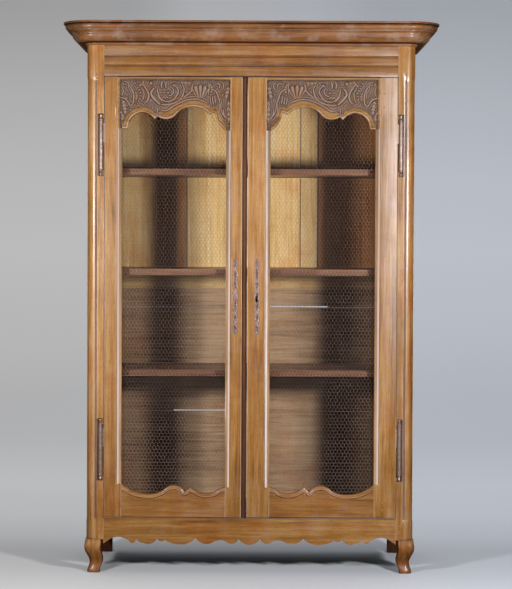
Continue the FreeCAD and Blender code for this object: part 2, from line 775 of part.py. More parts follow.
def side_panel(bottom, top):
    """Fielded panel whose edges sit in the grooves of the frame."""
    tongue = GROOVE_DEPTH - BOARD_PLAY
    edge = GROOVE_WIDTH / 2 - JOINT_PLAY
    y = (FRONT_POST_Y - tongue, REAR_POST_Y + tongue)
    z = (bottom - tongue, top + tongue)
    sheet = block((SIDE_MID_X - edge, SIDE_MID_X + edge), y, z)

    def rectangle(x, inset):
        low_y = FRONT_POST_Y + inset
        high_y = REAR_POST_Y - inset
        steps = (((high_y, bottom + inset),), ((high_y, top - inset),), ((low_y, top - inset),))
        return closed_wire((low_y, bottom + inset), steps, side_view(x))

    outside = SIDE_MID_X - edge
    field = Part.makeLoft(
        [rectangle(outside, BOARD_PLAY), rectangle(outside - PANEL_FIELD_RISE, PANEL_BEVEL)], True, True
    )
    return sheet.fuse(field)


# Back

def back_rail(rail):
    bottom, top = SIDE_RAILS[rail]
    body = block((REAR_POST_X, -REAR_POST_X), (BACK_INNER_Y, BACK_FRAME_Y), (bottom, top))
    body = body.multiFuse(both_sides([block(*back_tenon(rail))]))
    groove_y = back_board_groove()
    length = (REAR_POST_X, -REAR_POST_X)
    cuts = []
    if rail != "bottom":
        cuts.append(block(length, groove_y, (bottom - CUT_OVER, bottom + GROOVE_DEPTH)))
    if rail != "top":
        cuts.append(block(length, groove_y, (top - GROOVE_DEPTH, top + CUT_OVER)))
    if rail == "top":
        z = (CARCASE_TOP - TOP_BOARD_THICKNESS, CARCASE_TOP + CUT_OVER)
        cuts.append(block(length, (BACK_INNER_Y - CUT_OVER, BACK_INNER_Y + BOARD_REBATE), z))
    if rail == "bottom":
        z = (FLOOR_TOP - FLOOR_THICKNESS, FLOOR_TOP + BOARD_PLAY)
        cuts.append(block(length, (BACK_INNER_Y - CUT_OVER, BACK_INNER_Y + GROOVE_DEPTH), z))
    cuts += both_sides([peg_hole(place, INTO_BACK) for place in back_peg_places()])
    return cut_all(body, cuts)


def upright_back_boards():
    """Boards of the upper back, side by side between the top and middle rails."""
    reach = -REAR_POST_X + GROOVE_DEPTH - BOARD_PLAY
    seams = (-reach,) + BACK_SEAMS + (reach,)
    z = (MIDDLE_RAIL_TOP - GROOVE_DEPTH + BOARD_PLAY, TOP_RAIL_BOTTOM + GROOVE_DEPTH - BOARD_PLAY)
    boards = []
    for left, right in zip(seams, seams[1:]):
        boards.append(block((left, right - BACK_BOARD_SEAM), back_board_limits(), z))
    return boards


def lying_board_seams():
    """Heights of the seams of the lower back, from the middle rail down."""
    seams = []
    z = MIDDLE_RAIL_BOTTOM - LYING_BOARD_FIRST
    while z > BOTTOM_RAIL_TOP + LYING_BOARD_WIDTH / 3:
        seams.append(z)
        z -= LYING_BOARD_WIDTH
    return seams


def lying_back_boards():
    """Boards of the lower back, with two seams that have shrunk open."""
    reach = -REAR_POST_X + GROOVE_DEPTH - BOARD_PLAY
    top = MIDDLE_RAIL_BOTTOM + GROOVE_DEPTH - BOARD_PLAY
    bottom = BOTTOM_RAIL_TOP - GROOVE_DEPTH + BOARD_PLAY
    seams = lying_board_seams()
    open_spans = {0: (SHRINKAGE_NEAR, SHRINKAGE_FAR), 2: (-SHRINKAGE_FAR, -SHRINKAGE_NEAR)}
    levels = [top] + seams + [bottom]
    boards = []
    for number, (high, low) in enumerate(zip(levels, levels[1:])):
        board = block((-reach, reach), back_board_limits(), (low + BACK_BOARD_SEAM, high))
        if number in open_spans:
            gap = (low, low + SHRINKAGE_GAP)
            board = board.cut(block(open_spans[number], back_board_groove(), gap))
        boards.append(board)
    return boards


# Boards and shelves

def post_notches(play):
    """Both pairs of posts as boxes, for notching boards round them."""
    height = (0.0, CARCASE_TOP + CUT_OVER)
    front = block(*grown(((-HALF, FRONT_POST_X), (FRONT_Y, FRONT_POST_Y), height), play))
    rear = block(*grown(((-HALF, REAR_POST_X), (REAR_POST_Y, BACK_Y), height), play))
    return both_sides([front, rear])


def boards_between(front, back, reach, z):
    """Boards laid from side to side, one behind the other."""
    width = (back - front) / BOARD_COUNT
    boards = []
    for number in range(BOARD_COUNT):
        y = front + number * width
        board = block((-reach, reach), (y, y + width - BACK_BOARD_SEAM), z)
        boards.append(cut_all(board, post_notches(BOARD_PLAY)))
    return boards


def top_boards():
    front = RAIL_BACK_Y - BOARD_REBATE + BOARD_PLAY
    back = BACK_INNER_Y + BOARD_REBATE - BOARD_PLAY
    reach = -SIDE_INNER_X + BOARD_REBATE - BOARD_PLAY
    return boards_between(front, back, reach, (CARCASE_TOP - TOP_BOARD_THICKNESS, CARCASE_TOP))


def floor_boards():
    back = BACK_INNER_Y + GROOVE_DEPTH - BOARD_PLAY
    reach = -SIDE_INNER_X + GROOVE_DEPTH - BOARD_PLAY
    return boards_between(STOP_Y, back, reach, (FLOOR_TOP - FLOOR_THICKNESS, FLOOR_TOP))


def shelf(top):
    reach = -SIDE_INNER_X - BOARD_PLAY
    front = FRONT_Y + SHELF_SETBACK
    board = block((-reach, reach), (front, BACK_INNER_Y - BOARD_PLAY), (top - SHELF_THICKNESS, top))
    return cut_all(board, post_notches(BOARD_PLAY))


def shelf_cleats():
    """Battens let in between the posts, under each end of each shelf."""
    x = (SIDE_INNER_X, SIDE_INNER_X + CLEAT_SIZE)
    y = (FRONT_POST_Y, REAR_POST_Y)
    undersides = [top - SHELF_THICKNESS for top in SHELF_TOPS]
    return both_sides([block(x, y, (z - CLEAT_SIZE, z)) for z in undersides])


# Cornice

def cornice_face(place):
    """Section of the cornice: bead, ogee, fillet, torus and top fillet."""
    bead = CORNICE_BEAD
    ogee_foot = (CORNICE_SOFFIT, bead)
    belly = (CORNICE_SOFFIT + CORNICE_OGEE_BULGE, bead + CORNICE_OGEE_BULGE)
    hollow_top = (belly[0] + CORNICE_OGEE_HOLLOW, belly[1] + CORNICE_OGEE_HOLLOW)
    torus_low = (hollow_top[0] + CORNICE_FILLET, hollow_top[1] + CORNICE_FILLET)
    torus_high = (torus_low[0] + CORNICE_FILLET, torus_low[1] + CORNICE_TORUS)
    half = math.sqrt(0.5)
    bulge_via = (CORNICE_SOFFIT + CORNICE_OGEE_BULGE * half, belly[1] - CORNICE_OGEE_BULGE * half)
    hollow_via = (hollow_top[0] - CORNICE_OGEE_HOLLOW * half, belly[1] + CORNICE_OGEE_HOLLOW * half)
    torus_via = (torus_low[0] + CORNICE_TORUS_BULGE, torus_low[1] + CORNICE_TORUS / 2)
    steps = (
        ((0.0, 0.0),),
        ((bead / 2, bead / 2), (0.0, bead)),
        (ogee_foot,),
        (bulge_via, belly),
        (hollow_via, hollow_top),
        ((torus_low[0], hollow_top[1]),),
        (torus_low,),
        (torus_via, torus_high),
        ((CORNICE_OVERHANG, torus_high[1]),),
        ((CORNICE_OVERHANG, CORNICE_HEIGHT),),
        ((-CORNICE_SEAT, CORNICE_HEIGHT),),
    )
    return Part.Face(closed_wire((-CORNICE_SEAT, 0.0), steps, place))


CORNER = Vector(-HALF + COLUMN_RADIUS, FRONT_Y + COLUMN_RADIUS, 0)
UP = Vector(0, 0, 1)


def cornice_front():
    """Front length with half of each rounded corner, to the mitre."""
    face = cornice_face(lambda out, up: Vector(CORNER.x, FRONT_Y - out, CARCASE_TOP + up))
    straight = face.extrude(Vector(-2 * CORNER.x, 0, 0))
    return straight.multiFuse(both_sides([face.revolve(CORNER, UP, -45)]))


def cornice_return():
    """Left return with the other half of its corner."""
    face = cornice_face(lambda out, up: Vector(-HALF - out, CORNER.y, CARCASE_TOP + up))
    straight = face.extrude(Vector(0, BACK_Y - CORNER.y, 0))
    return straight.fuse(face.revolve(CORNER, UP, 45))


# Doors, modelled as the left leaf and mirrored for the right one

def wave_steps(shares, x, width, base):
    return [tuple((x + share * width, base + rise) for share, rise in step) for step in shares]


def top_base():
    """Height from which the wave of the top rail is measured."""
    return DOOR_TOP - TOP_RAIL_DROP


def door_tenons(left, right, bottom, top):
    y = (DOOR_Y + DOOR_TENON_SETBACK, DOOR_Y + DOOR_TENON_SETBACK + DOOR_TENON_THICKNESS)
    return (
        ((left - DOOR_TENON_LENGTH, left), y, (bottom, top)),
        ((right, right + DOOR_TENON_LENGTH), y, (bottom, top)),
    )


def top_tenons(left, right):
    top = DOOR_TOP - TOP_TENON_SHOULDER
    return door_tenons(left - TOP_SHOULDER, right + TOP_SHOULDER, top - TOP_TENON_HEIGHT, top)


def bottom_tenons(left, right):
    bottom = DOOR_BOTTOM + BOTTOM_TENON_SHOULDER
    return door_tenons(left, right, bottom, bottom + BOTTOM_TENON_HEIGHT)


def leaf_peg_places(left, right):
    """Two pegs in each of a leaf's four joints."""
    inset = TOP_SHOULDER + PEG_FROM_SHOULDER
    places = []
    for tenons in (top_tenons(left, right), bottom_tenons(left, right)):
        for x, tenon in zip((left - inset, right + inset), tenons):
            places += [Vector(x, DOOR_Y - PEG_PROUD, z) for z in peg_levels(tenon[2])]
    return places


INTO_DOOR = Vector(0, DOOR_THICKNESS + PEG_PROUD, 0)


def leaf_peg_holes(left, right):
    return [peg_hole(place, INTO_DOOR) for place in leaf_peg_places(left, right)]


def moulding_cut(edge, inward, z):
    """Moulding of a stile beside the opening: hollow lip, round bead and quirk."""
    bead_end = LIP_WIDTH + BEAD_WIDTH
    quirk_end = bead_end + BEAD_QUIRK
    steps = (
        ((-CUT_OVER, LIP_DEPTH),),
        ((0.0, LIP_DEPTH),),
        ((LIP_WIDTH * LIP_HOLLOW[0], LIP_DEPTH * LIP_HOLLOW[1]), (LIP_WIDTH, FIELD_RECESS)),
        ((LIP_WIDTH + BEAD_WIDTH / 2, 0.0), (bead_end, FIELD_RECESS)),
        ((quirk_end, FIELD_RECESS),),
        ((quirk_end, -CUT_OVER),),
    )

    def place(out, deep):
        return Vector(edge + inward * out, DOOR_Y + deep, z[0])

    return prism((-CUT_OVER, -CUT_OVER), steps, place, Vector(0, 0, z[1] - z[0]))


def stile(x, edge, inward, sights, tenons):
    """Upright of a leaf, moulded along its opening and notched above it for the top rail."""
    notch_x = sorted((edge, edge + inward * TOP_SHOULDER))
    body = block(x, (DOOR_Y, DOOR_BACK_Y), (DOOR_BOTTOM, DOOR_TOP))
    cuts = [
        moulding_cut(edge, inward, sights),
        block(notch_x, (DOOR_Y - CUT_OVER, DOOR_BACK_Y + CUT_OVER), (sights[1], DOOR_TOP + CUT_OVER)),
    ]
    return cut_all(body, cuts + [block(*grown(tenon, JOINT_PLAY)) for tenon in tenons])


def hinge_stile(left, right):
    sights = (DOOR_BOTTOM + BOTTOM_WAVE_START[1], top_base() + TOP_WAVE_START[1])
    tenons = (top_tenons(left, right)[0], bottom_tenons(left, right)[0])
    body = stile((DOOR_EDGE_X, left), left, -1.0, sights, tenons)
    gains = [block(*grown(door_blade(base), JOINT_PLAY)) for base in HINGE_BASES]
    return cut_all(body, gains + leaf_peg_holes(left, right))


def meeting_stile(left, right, edge, extra_cuts):
    sights = (DOOR_BOTTOM + BOTTOM_WAVE[-1][-1][1], top_base() + TOP_WAVE[-1][-1][1])
    tenons = (top_tenons(left, right)[1], bottom_tenons(left, right)[1])
    body = stile((right, edge), right, 1.0, sights, tenons)
    return cut_all(body, leaf_peg_holes(left, right) + extra_cuts)


def top_rail(left, right):
    """Waved rail with a raised bead along its lower edge."""
    thickness = Vector(0, DOOR_THICKNESS, 0)
    low_x = left - TOP_SHOULDER
    high_x = right + TOP_SHOULDER

    def under_wave(lift, y, along):
        base = top_base() + lift
        steps = [((left, base + TOP_WAVE_START[1]),)]
        steps += wave_steps(TOP_WAVE, left, right - left, base)
        steps += [((high_x, steps[-1][-1][1]),), ((high_x, DOOR_TOP),), ((low_x, DOOR_TOP),)]
        return prism((low_x, base + TOP_WAVE_START[1]), steps, front_view(y), along)

    rail = under_wave(0.0, DOOR_Y, thickness)
    field = under_wave(BEAD_WIDTH, DOOR_Y - CUT_OVER, Vector(0, CUT_OVER + FIELD_RECESS, 0))
    rail = rail.cut(field).multiFuse([block(*tenon) for tenon in top_tenons(left, right)])
    return cut_all(rail, leaf_peg_holes(left, right))


def bottom_rail(left, right):
    """Rail whose upper edge dips in two bowls, with a raised bead along it."""
    thickness = Vector(0, DOOR_THICKNESS, 0)

    def over_wave(drop, y, along):
        start = (left, DOOR_BOTTOM - drop + BOTTOM_WAVE_START[1])
        steps = wave_steps(BOTTOM_WAVE, left, right - left, DOOR_BOTTOM - drop)
        steps += [((right, DOOR_BOTTOM),), ((left, DOOR_BOTTOM),)]
        return prism(start, steps, front_view(y), along)

    rail = over_wave(0.0, DOOR_Y, thickness)
    field = over_wave(BEAD_WIDTH, DOOR_Y - CUT_OVER, Vector(0, CUT_OVER + FIELD_RECESS, 0))
    rail = rail.cut(field).multiFuse([block(*tenon) for tenon in bottom_tenons(left, right)])
    return cut_all(rail, leaf_peg_holes(left, right))


def net_cell(x, z, radius, sides):
    """Outline of one cell; sides are the ways, -1 or 1, in which it reaches out from its middle."""
    flat = math.sqrt(0.75)
    corners = [(0.0, 1.0)]
    for side in sides:
        corners += [(side * flat, side * 0.5), (side * flat, -side * 0.5), (0.0, -side)]
    if len(sides) == 1:
        corners = [(0.0, sides[0])] + corners[1:] + [(0.0, sides[0])]
    return Part.makePolygon([Vector(x + radius * out, DOOR_BACK_Y, z + radius * up) for out, up in corners])


def wire_net(left, right):
    """Hexagonal net behind the opening, as one holed sheet with a plain border."""
    low_z = DOOR_BOTTOM + min(step[-1][1] for step in BOTTOM_WAVE) - NET_LAP
    high_z = top_base() + max(step[0][1] for step in TOP_WAVE) + NET_LAP
    pitch = (right - left) / NET_COLUMNS
    row_pitch = pitch * math.sqrt(0.75)
    radius = (pitch - NET_STRAND) / math.sqrt(3)
    rows = 1 + int((high_z - low_z - NET_STRAND - 2 * radius) / row_pitch)
    first_z = (low_z + high_z) / 2 - row_pitch * (rows - 1) / 2
    steps = (((right + NET_LAP, low_z),), ((right + NET_LAP, high_z),), ((left - NET_LAP, high_z),))
    wires = [closed_wire((left - NET_LAP, low_z), steps, front_view(DOOR_BACK_Y))]
    for row in range(rows):
        z = first_z + row * row_pitch
        if row % 2:
            middles = [left + pitch * column for column in range(1, NET_COLUMNS)]
            wires += [net_cell(left, z, radius, (1,)), net_cell(right, z, radius, (-1,))]
        else:
            middles = [left + pitch * (column + 0.5) for column in range(NET_COLUMNS)]
        wires += [net_cell(x, z, radius, (1, -1)) for x in middles]
    return Part.makeFace(wires, "Part::FaceMakerBullseye").extrude(Vector(0, NET_THICKNESS, 0))


# Escutcheons, lock and bolts

def keyhole(x, y, depth):
    """Round hole with a slot below it, along Y."""
    round_hole = Part.makeCylinder(KEYHOLE_RADIUS, depth, Vector(x, y, LOCK_Z), Vector(0, 1, 0))
    half = KEYHOLE_SLOT_WIDTH / 2
    slot = block((x - half, x + half), (y, y + depth), (LOCK_Z - KEYHOLE_SLOT_LENGTH, LOCK_Z))
    return round_hole.fuse(slot)


def escutcheon(x, with_keyhole):
    """Long lobed plate with a row of piercings."""
    lobe = PLATE_LENGTH / PLATE_LOBES
    bottom = LOCK_Z - PLATE_LENGTH / 2
    y = DOOR_Y - PLATE_THICKNESS
    rising = []
    for number in range(PLATE_LOBES):
        middle = bottom + (number + 0.5) * lobe
        bulge = PLATE_CENTRE_BULGE if number == PLATE_LOBES // 2 else PLATE_BULGE
        neck = 0.0 if number == PLATE_LOBES - 1 else PLATE_NECK
        rising.append(((bulge, middle), (neck, bottom + (number + 1) * lobe)))
    steps = [tuple((x + out, z) for out, z in step) for step in rising]
    starts = [(0.0, bottom)] + [step[1] for step in rising]
    for number in reversed(range(PLATE_LOBES)):
        via = rising[number][0]
        end = starts[number]
        steps.append(((x - via[0], via[1]), (x - end[0], end[1])))
    plate = prism((x, bottom), steps, front_view(y), Vector(0, PLATE_THICKNESS, 0))
    through = PLATE_THICKNESS + 2 * CUT_OVER
    holes = []
    for number in range(PLATE_LOBES):
        if number != PLATE_LOBES // 2:
            centre = Vector(x, y - CUT_OVER, bottom + (number + 0.5) * lobe)
            holes.append(Part.makeCylinder(PLATE_PIERCING_RADIUS, through, centre, Vector(0, 1, 0)))
    if with_keyhole:
        holes.append(keyhole(x, y - CUT_OVER, through))
    return cut_all(plate, holes)


RIGHT_PLATE_X = RIGHT_MEETING_EDGE + RIGHT_PLATE_EDGE
LOCK_X = RIGHT_MEETING_EDGE + LOCK_EDGE
BOLT_Y = DOOR_BACK_Y + (LOCK_DEPTH - BOLT_THICKNESS) / 2


def lock_bolt_limits():
    """Lock bolt drawn back, with its end flush with the case."""
    return (
        (LOCK_X, LOCK_X + LOCK_WIDTH - LOCK_WALL - BOLT_PLAY),
        (BOLT_Y, BOLT_Y + BOLT_THICKNESS),
        (LOCK_Z - BOLT_HEIGHT / 2, LOCK_Z + BOLT_HEIGHT / 2),
    )


def lock_bolt():
    """Bolt with a gap in its middle where the key turns and catches it."""
    x, y, z = lock_bolt_limits()
    gap = KEYHOLE_RADIUS + BOLT_PLAY
    talon = ((RIGHT_PLATE_X - gap, RIGHT_PLATE_X + gap), y, (z[0], LOCK_Z + KEYHOLE_RADIUS))
    return block(x, y, z).cut(block(*talon))


def lock_case():
    """Iron case with a channel for the bolt, open towards the left leaf."""
    case = block(
        (LOCK_X, LOCK_X + LOCK_WIDTH),
        (DOOR_BACK_Y, DOOR_BACK_Y + LOCK_DEPTH),
        (LOCK_Z - LOCK_HEIGHT / 2, LOCK_Z + LOCK_HEIGHT / 2),
    )
    cover = case.BoundBox.YMax
    cover_edges = [edge for edge in case.Edges if edge.BoundBox.YMin > cover - LOCK_WALL]
    case = case.makeChamfer(LOCK_WALL / 2, cover_edges)
    channel = block(*grown(lock_bolt_limits(), BOLT_PLAY))
    key_way = keyhole(RIGHT_PLATE_X, DOOR_BACK_Y - CUT_OVER, LOCK_DEPTH / 2 + CUT_OVER)
    return cut_all(case, [channel, key_way])


def strike_plate():
    """Plate on the left leaf that the lock bolt slides behind."""
    edge = LEFT_MEETING_EDGE - MEETING_GAP / 2
    return block(
        (edge - STRIKE_WIDTH, edge),
        (DOOR_BACK_Y, DOOR_BACK_Y + STRIKE_THICKNESS),
        (LOCK_Z - STRIKE_HEIGHT / 2, LOCK_Z + STRIKE_HEIGHT / 2),
    )


def guide_tops():
    """Tops of the two guides of the leaf bolt."""
    first = STOP_BOTTOM - LEAF_BOLT_CLEAR - GUIDE_HEAD_DISTANCE
    return (first, first - GUIDE_SPACING)


def leaf_bolt():
    """Flat bar with a knob, whose foot rests on the lower guide."""
    x, y, z = leaf_bolt_limits(0.0)
    knob_z = guide_tops()[1] + BOLT_PLAY + BOLT_KNOB_RADIUS
    start = Vector((x[0] + x[1]) / 2, y[1], knob_z)
    outward = Vector(0, 1, 0)
    knob = Part.makeCone(BOLT_KNOB_NECK, BOLT_KNOB_RADIUS, BOLT_KNOB_REACH, start, outward)
    return block(x, y, z).fuse(knob)


def leaf_bolt_guides():
    """Two iron straps screwed to the stile, each round the bolt."""
    x, y, z = leaf_bolt_limits(0.0)
    middle = (x[0] + x[1]) / 2
    guides = []
    for top in guide_tops():
        body = block(
            (middle - GUIDE_WIDTH / 2, middle + GUIDE_WIDTH / 2),
            (DOOR_BACK_Y, y[1] + BOLT_PLAY + GUIDE_WALL),
            (top - GUIDE_HEIGHT, top),
        )
        guides.append(body.cut(block(*grown((x, y, z), BOLT_PLAY))))
    return guides


# Write every piece

def save_pair(name, shape):
    save(name + "_left", [shape])
    save(name + "_right", [mirrored(shape)])


def save_frame():
    save_pair("front_post", front_post())
    save_pair("rear_post", rear_post())
    save("frieze_rail", [frieze_rail()])
    save("apron_rail", [apron_rail()])
    for rail in SIDE_RAILS:
        save_pair("side_" + rail + "_rail", side_rail(rail))
        save("back_" + rail + "_rail", [back_rail(rail)])
    save_pair("side_upper_panel", side_panel(MIDDLE_RAIL_TOP, TOP_RAIL_BOTTOM))
    save_pair("side_lower_panel", side_panel(BOTTOM_RAIL_TOP, MIDDLE_RAIL_BOTTOM))
    save("back_upper_boards", upright_back_boards())
    save("back_lower_boards", lying_back_boards())
    save("top_boards", top_boards())
    save("floor_boards", floor_boards())
    for name, top in zip(("lower", "middle", "upper"), SHELF_TOPS):
        save(name + "_shelf", [shelf(top)])
    save("shelf_cleats", shelf_cleats())
    save("cornice_front", [cornice_front()])
    save_pair("cornice_return", cornice_return())
    front_pegs, rear_pegs = side_peg_places()
    pegs = [peg(place, INTO_FRONT) for place in front_peg_places()]
    pegs += [peg(place, INTO_SIDE) for place in front_pegs + rear_pegs]
    pegs += [peg(place, INTO_BACK) for place in back_peg_places()]
    save("carcase_pegs", both_sides(pegs))


def save_hinges():
    pins = []
    for level, base in zip(("lower", "upper"), HINGE_BASES):
        save_pair(level + "_hinge_post_half", hinge_post_half(base))
        save_pair(level + "_hinge_door_half", hinge_door_half(base))
        pins.append(hinge_pin(base))
    save("hinge_pins", both_sides(pins))


def save_leaf(side, edge, widths, finish, stile_cuts):
    """One leaf with stiles of two widths: built as a left-hand one, then kept as it is or mirrored."""
    left = DOOR_EDGE_X + widths[0]
    right = edge - widths[1]
    save(side + "_hinge_stile", [finish(hinge_stile(left, right))])
    save(side + "_meeting_stile", [finish(meeting_stile(left, right, edge, stile_cuts))])
    save(side + "_top_rail", [finish(top_rail(left, right))])
    save(side + "_bottom_rail", [finish(bottom_rail(left, right))])
    save(side + "_net", [finish(wire_net(left, right))])
    save(side + "_door_pegs", [finish(peg(place, INTO_DOOR)) for place in leaf_peg_places(left, right)])


def save_doors():
    rebate = block(
        (LEFT_MEETING_EDGE - MEETING_REBATE_WIDTH, LEFT_MEETING_EDGE + CUT_OVER),
        (DOOR_Y - CUT_OVER, DOOR_Y + MEETING_REBATE_DEPTH),
        (DOOR_BOTTOM - CUT_OVER, DOOR_TOP + CUT_OVER),
    )
    left_widths = (LEFT_HINGE_WIDTH, LEFT_MEETING_WIDTH)
    right_widths = (RIGHT_HINGE_WIDTH, RIGHT_MEETING_WIDTH)
    save_leaf("left", LEFT_MEETING_EDGE, left_widths, lambda shape: shape, [rebate])
    key_way = mirrored(keyhole(RIGHT_PLATE_X, DOOR_Y - CUT_OVER, DOOR_THICKNESS + 2 * CUT_OVER))
    save_leaf("right", -RIGHT_MEETING_EDGE, right_widths, mirrored, [key_way])
    save("left_escutcheon", [escutcheon(LEFT_MEETING_EDGE - LEFT_PLATE_EDGE, False)])
    save("right_escutcheon", [escutcheon(RIGHT_PLATE_X, True)])
    save("lock_case", [lock_case()])
    save("lock_bolt", [lock_bolt()])
    save("strike_plate", [strike_plate()])
    save("leaf_bolt", [leaf_bolt()])
    save("leaf_bolt_guides", leaf_bolt_guides())


save_frame()
save_hinges()
save_doors()
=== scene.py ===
# %% [markdown]
# # Dressing a netted armoire
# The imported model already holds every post, rail, board, hinge and bolt of the cabinet in its true place.
# This lesson adds what a flat solid lacks: carving, fine wire, worn edges, chased iron and old waxed wood.
# It could all be modelled from nothing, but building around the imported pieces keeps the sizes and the
# hinges right, so each new piece only has to replace the solid that it improves.

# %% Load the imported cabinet
import json
import math

import bmesh
import bpy
import numpy as np
from bmesh.types import BMEdge, BMFace, BMVert
from mathutils import Matrix, Vector

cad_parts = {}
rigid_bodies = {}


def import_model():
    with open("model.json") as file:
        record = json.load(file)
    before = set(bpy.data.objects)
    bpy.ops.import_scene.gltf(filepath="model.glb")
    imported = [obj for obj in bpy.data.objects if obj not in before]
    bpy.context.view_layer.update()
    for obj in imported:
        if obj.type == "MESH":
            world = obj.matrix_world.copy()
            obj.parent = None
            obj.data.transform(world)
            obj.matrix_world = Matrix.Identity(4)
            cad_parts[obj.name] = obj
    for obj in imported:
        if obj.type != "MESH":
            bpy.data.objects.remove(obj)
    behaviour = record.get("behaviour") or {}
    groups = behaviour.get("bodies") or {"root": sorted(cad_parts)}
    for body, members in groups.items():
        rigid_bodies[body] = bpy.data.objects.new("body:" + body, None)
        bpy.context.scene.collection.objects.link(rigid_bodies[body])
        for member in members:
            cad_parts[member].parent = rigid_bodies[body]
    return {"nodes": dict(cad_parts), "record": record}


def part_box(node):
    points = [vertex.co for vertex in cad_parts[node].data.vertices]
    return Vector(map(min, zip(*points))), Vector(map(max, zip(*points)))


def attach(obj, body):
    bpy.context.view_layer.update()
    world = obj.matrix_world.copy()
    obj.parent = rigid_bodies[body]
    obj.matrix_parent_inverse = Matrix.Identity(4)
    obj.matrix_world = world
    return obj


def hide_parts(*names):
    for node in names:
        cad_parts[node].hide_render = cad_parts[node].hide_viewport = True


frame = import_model()
cabinet_nodes = frame["nodes"]
body_of_node = {}
for body_name, node_names in frame["record"]["behaviour"]["bodies"].items():
    for node_name in node_names:
        body_of_node[node_name] = body_name
slot_of_node = {entry["node"]: entry["material_slot"] for entry in frame["record"]["subparts"]}
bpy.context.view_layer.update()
scene_objects = bpy.context.scene.collection.objects
print("packed pieces:", len(cabinet_nodes))

# %% [markdown]
# ## Camera
# The picture was taken from seven metres away with a long lens, somewhat above the middle of the cabinet.
# The long lens keeps the sides nearly parallel. The camera looks down by one degree, which shows a sliver
# of each shelf's top, and leans by a quarter of a degree, so the left feet stand a little higher.

# %% Camera at the picture's angle
PICTURE_HEIGHT = 589
FOCAL_PIXELS = 1802.9
SENSOR_WIDTH = 36.0
FRONT_FACE_Y = -0.2125
CAMERA_DISTANCE = 7.2
CAMERA_X, CAMERA_Z = 0.022, 1.38
CAMERA_TILT = math.radians(1.309)
CAMERA_LEAN = math.radians(0.25)
CAMERA_SHIFT = -0.041
camera_data = bpy.data.cameras.new("picture_camera")
camera_data.sensor_width = SENSOR_WIDTH
camera_data.lens = FOCAL_PIXELS / PICTURE_HEIGHT * SENSOR_WIDTH
camera_data.shift_y = CAMERA_SHIFT
camera = bpy.data.objects.new("picture_camera", camera_data)
camera.location = (CAMERA_X, FRONT_FACE_Y - CAMERA_DISTANCE, CAMERA_Z)
camera_turn = Matrix.Rotation(math.pi / 2 - CAMERA_TILT, 3, "X") @ Matrix.Rotation(CAMERA_LEAN, 3, "Z")
camera.rotation_euler = camera_turn.to_euler()
scene_objects.link(camera)
bpy.context.scene.camera = camera
print("lens:", round(camera_data.lens, 1), "mm")

# %% [markdown]
# ## Helpers for finishes
# Every finish is a small tree of texture nodes on Object coordinates. Pieces sit at the origin with their
# place in their mesh, so one tree gives each board its own part of an endless pattern. A few helpers keep
# each recipe short.

# %% Node helpers


def filled(tree, node, inputs):
    """Set each input of a node to a value, or join it to another node's output."""
    for socket, value in inputs.items():
        if isinstance(value, bpy.types.NodeSocket):
            tree.links.new(value, node.inputs[socket])
        else:
            node.inputs[socket].default_value = value
    return node


def added(tree, kind, inputs):
    """A new node of a kind with its inputs filled."""
    return filled(tree, tree.nodes.new(kind), inputs)


def new_finish(name):
    """An empty material with a Principled shader; returns the material, its tree and the shader."""
    material = bpy.data.materials.new(name)
    material.use_nodes = True
    tree = material.node_tree
    tree.nodes.clear()
    shader = tree.nodes.new("ShaderNodeBsdfPrincipled")
    added(tree, "ShaderNodeOutputMaterial", {"Surface": shader.outputs["BSDF"]})
    return material, tree, shader


def object_place(tree):
    """Object coordinates."""
    return tree.nodes.new("ShaderNodeTexCoord").outputs["Object"]


def stretched(tree, scale=(1.0, 1.0, 1.0), shift=(0.0, 0.0, 0.0)):
    """Object coordinates scaled along each axis."""
    inputs = {"Vector": object_place(tree), "Scale": scale, "Location": shift}
    return added(tree, "ShaderNodeMapping", inputs).outputs["Vector"]


def coordinate(tree, axis):
    """The Object coordinate along one axis as a grey value."""
    return added(tree, "ShaderNodeSeparateXYZ", {"Vector": object_place(tree)}).outputs[axis.upper()]


def marked(tree, name):
    """A value stored on the mesh; 0 where the mesh has none."""
    node = tree.nodes.new("ShaderNodeAttribute")
    node.attribute_name = name
    return node.outputs["Fac"]


def cloud(tree, vector, scale, detail=4.0, roughness=0.55, distortion=0.0):
    """Noise as a grey value."""
    inputs = {"Vector": vector, "Scale": scale, "Detail": detail, "Roughness": roughness}
    inputs["Distortion"] = distortion
    return added(tree, "ShaderNodeTexNoise", inputs).outputs["Fac"]


def spots(tree, vector, scale):
    """Distance to the nearest of many scattered points."""
    return added(tree, "ShaderNodeTexVoronoi", {"Vector": vector, "Scale": scale}).outputs["Distance"]


def toned(tree, grey, stops):
    """A grey value turned into colours at the given stops."""
    node = added(tree, "ShaderNodeValToRGB", {"Fac": grey})
    ramp = node.color_ramp
    while len(ramp.elements) < len(stops):
        ramp.elements.new(0.5)
    for element, (place, colour) in zip(ramp.elements, stops):
        element.position = place
        element.color = (*colour, 1.0)
    return node.outputs["Color"]


def levels(tree, grey, low, high, out_low=0.0, out_high=1.0):
    """A grey value stretched from one range to another and clamped."""
    inputs = {"Value": grey, "From Min": low, "From Max": high, "To Min": out_low, "To Max": out_high}
    return added(tree, "ShaderNodeMapRange", inputs).outputs["Result"]


def mixed(tree, mode, factor, first, second):
    """Two colours combined; the factor is a number or a grey value."""
    node = tree.nodes.new("ShaderNodeMix")
    node.data_type = "RGBA"
    node.blend_type = mode
    first, second = [(*value, 1.0) if isinstance(value, tuple) else value for value in (first, second)]
    return filled(tree, node, {0: factor, 6: first, 7: second}).outputs[2]


def tinted(tree, colour, tints):
    """A colour multiplied by each tint, as far as the tint's mask says."""
    for mask, tint in tints:
        colour = mixed(tree, "MULTIPLY", mask, colour, tint)
    return colour


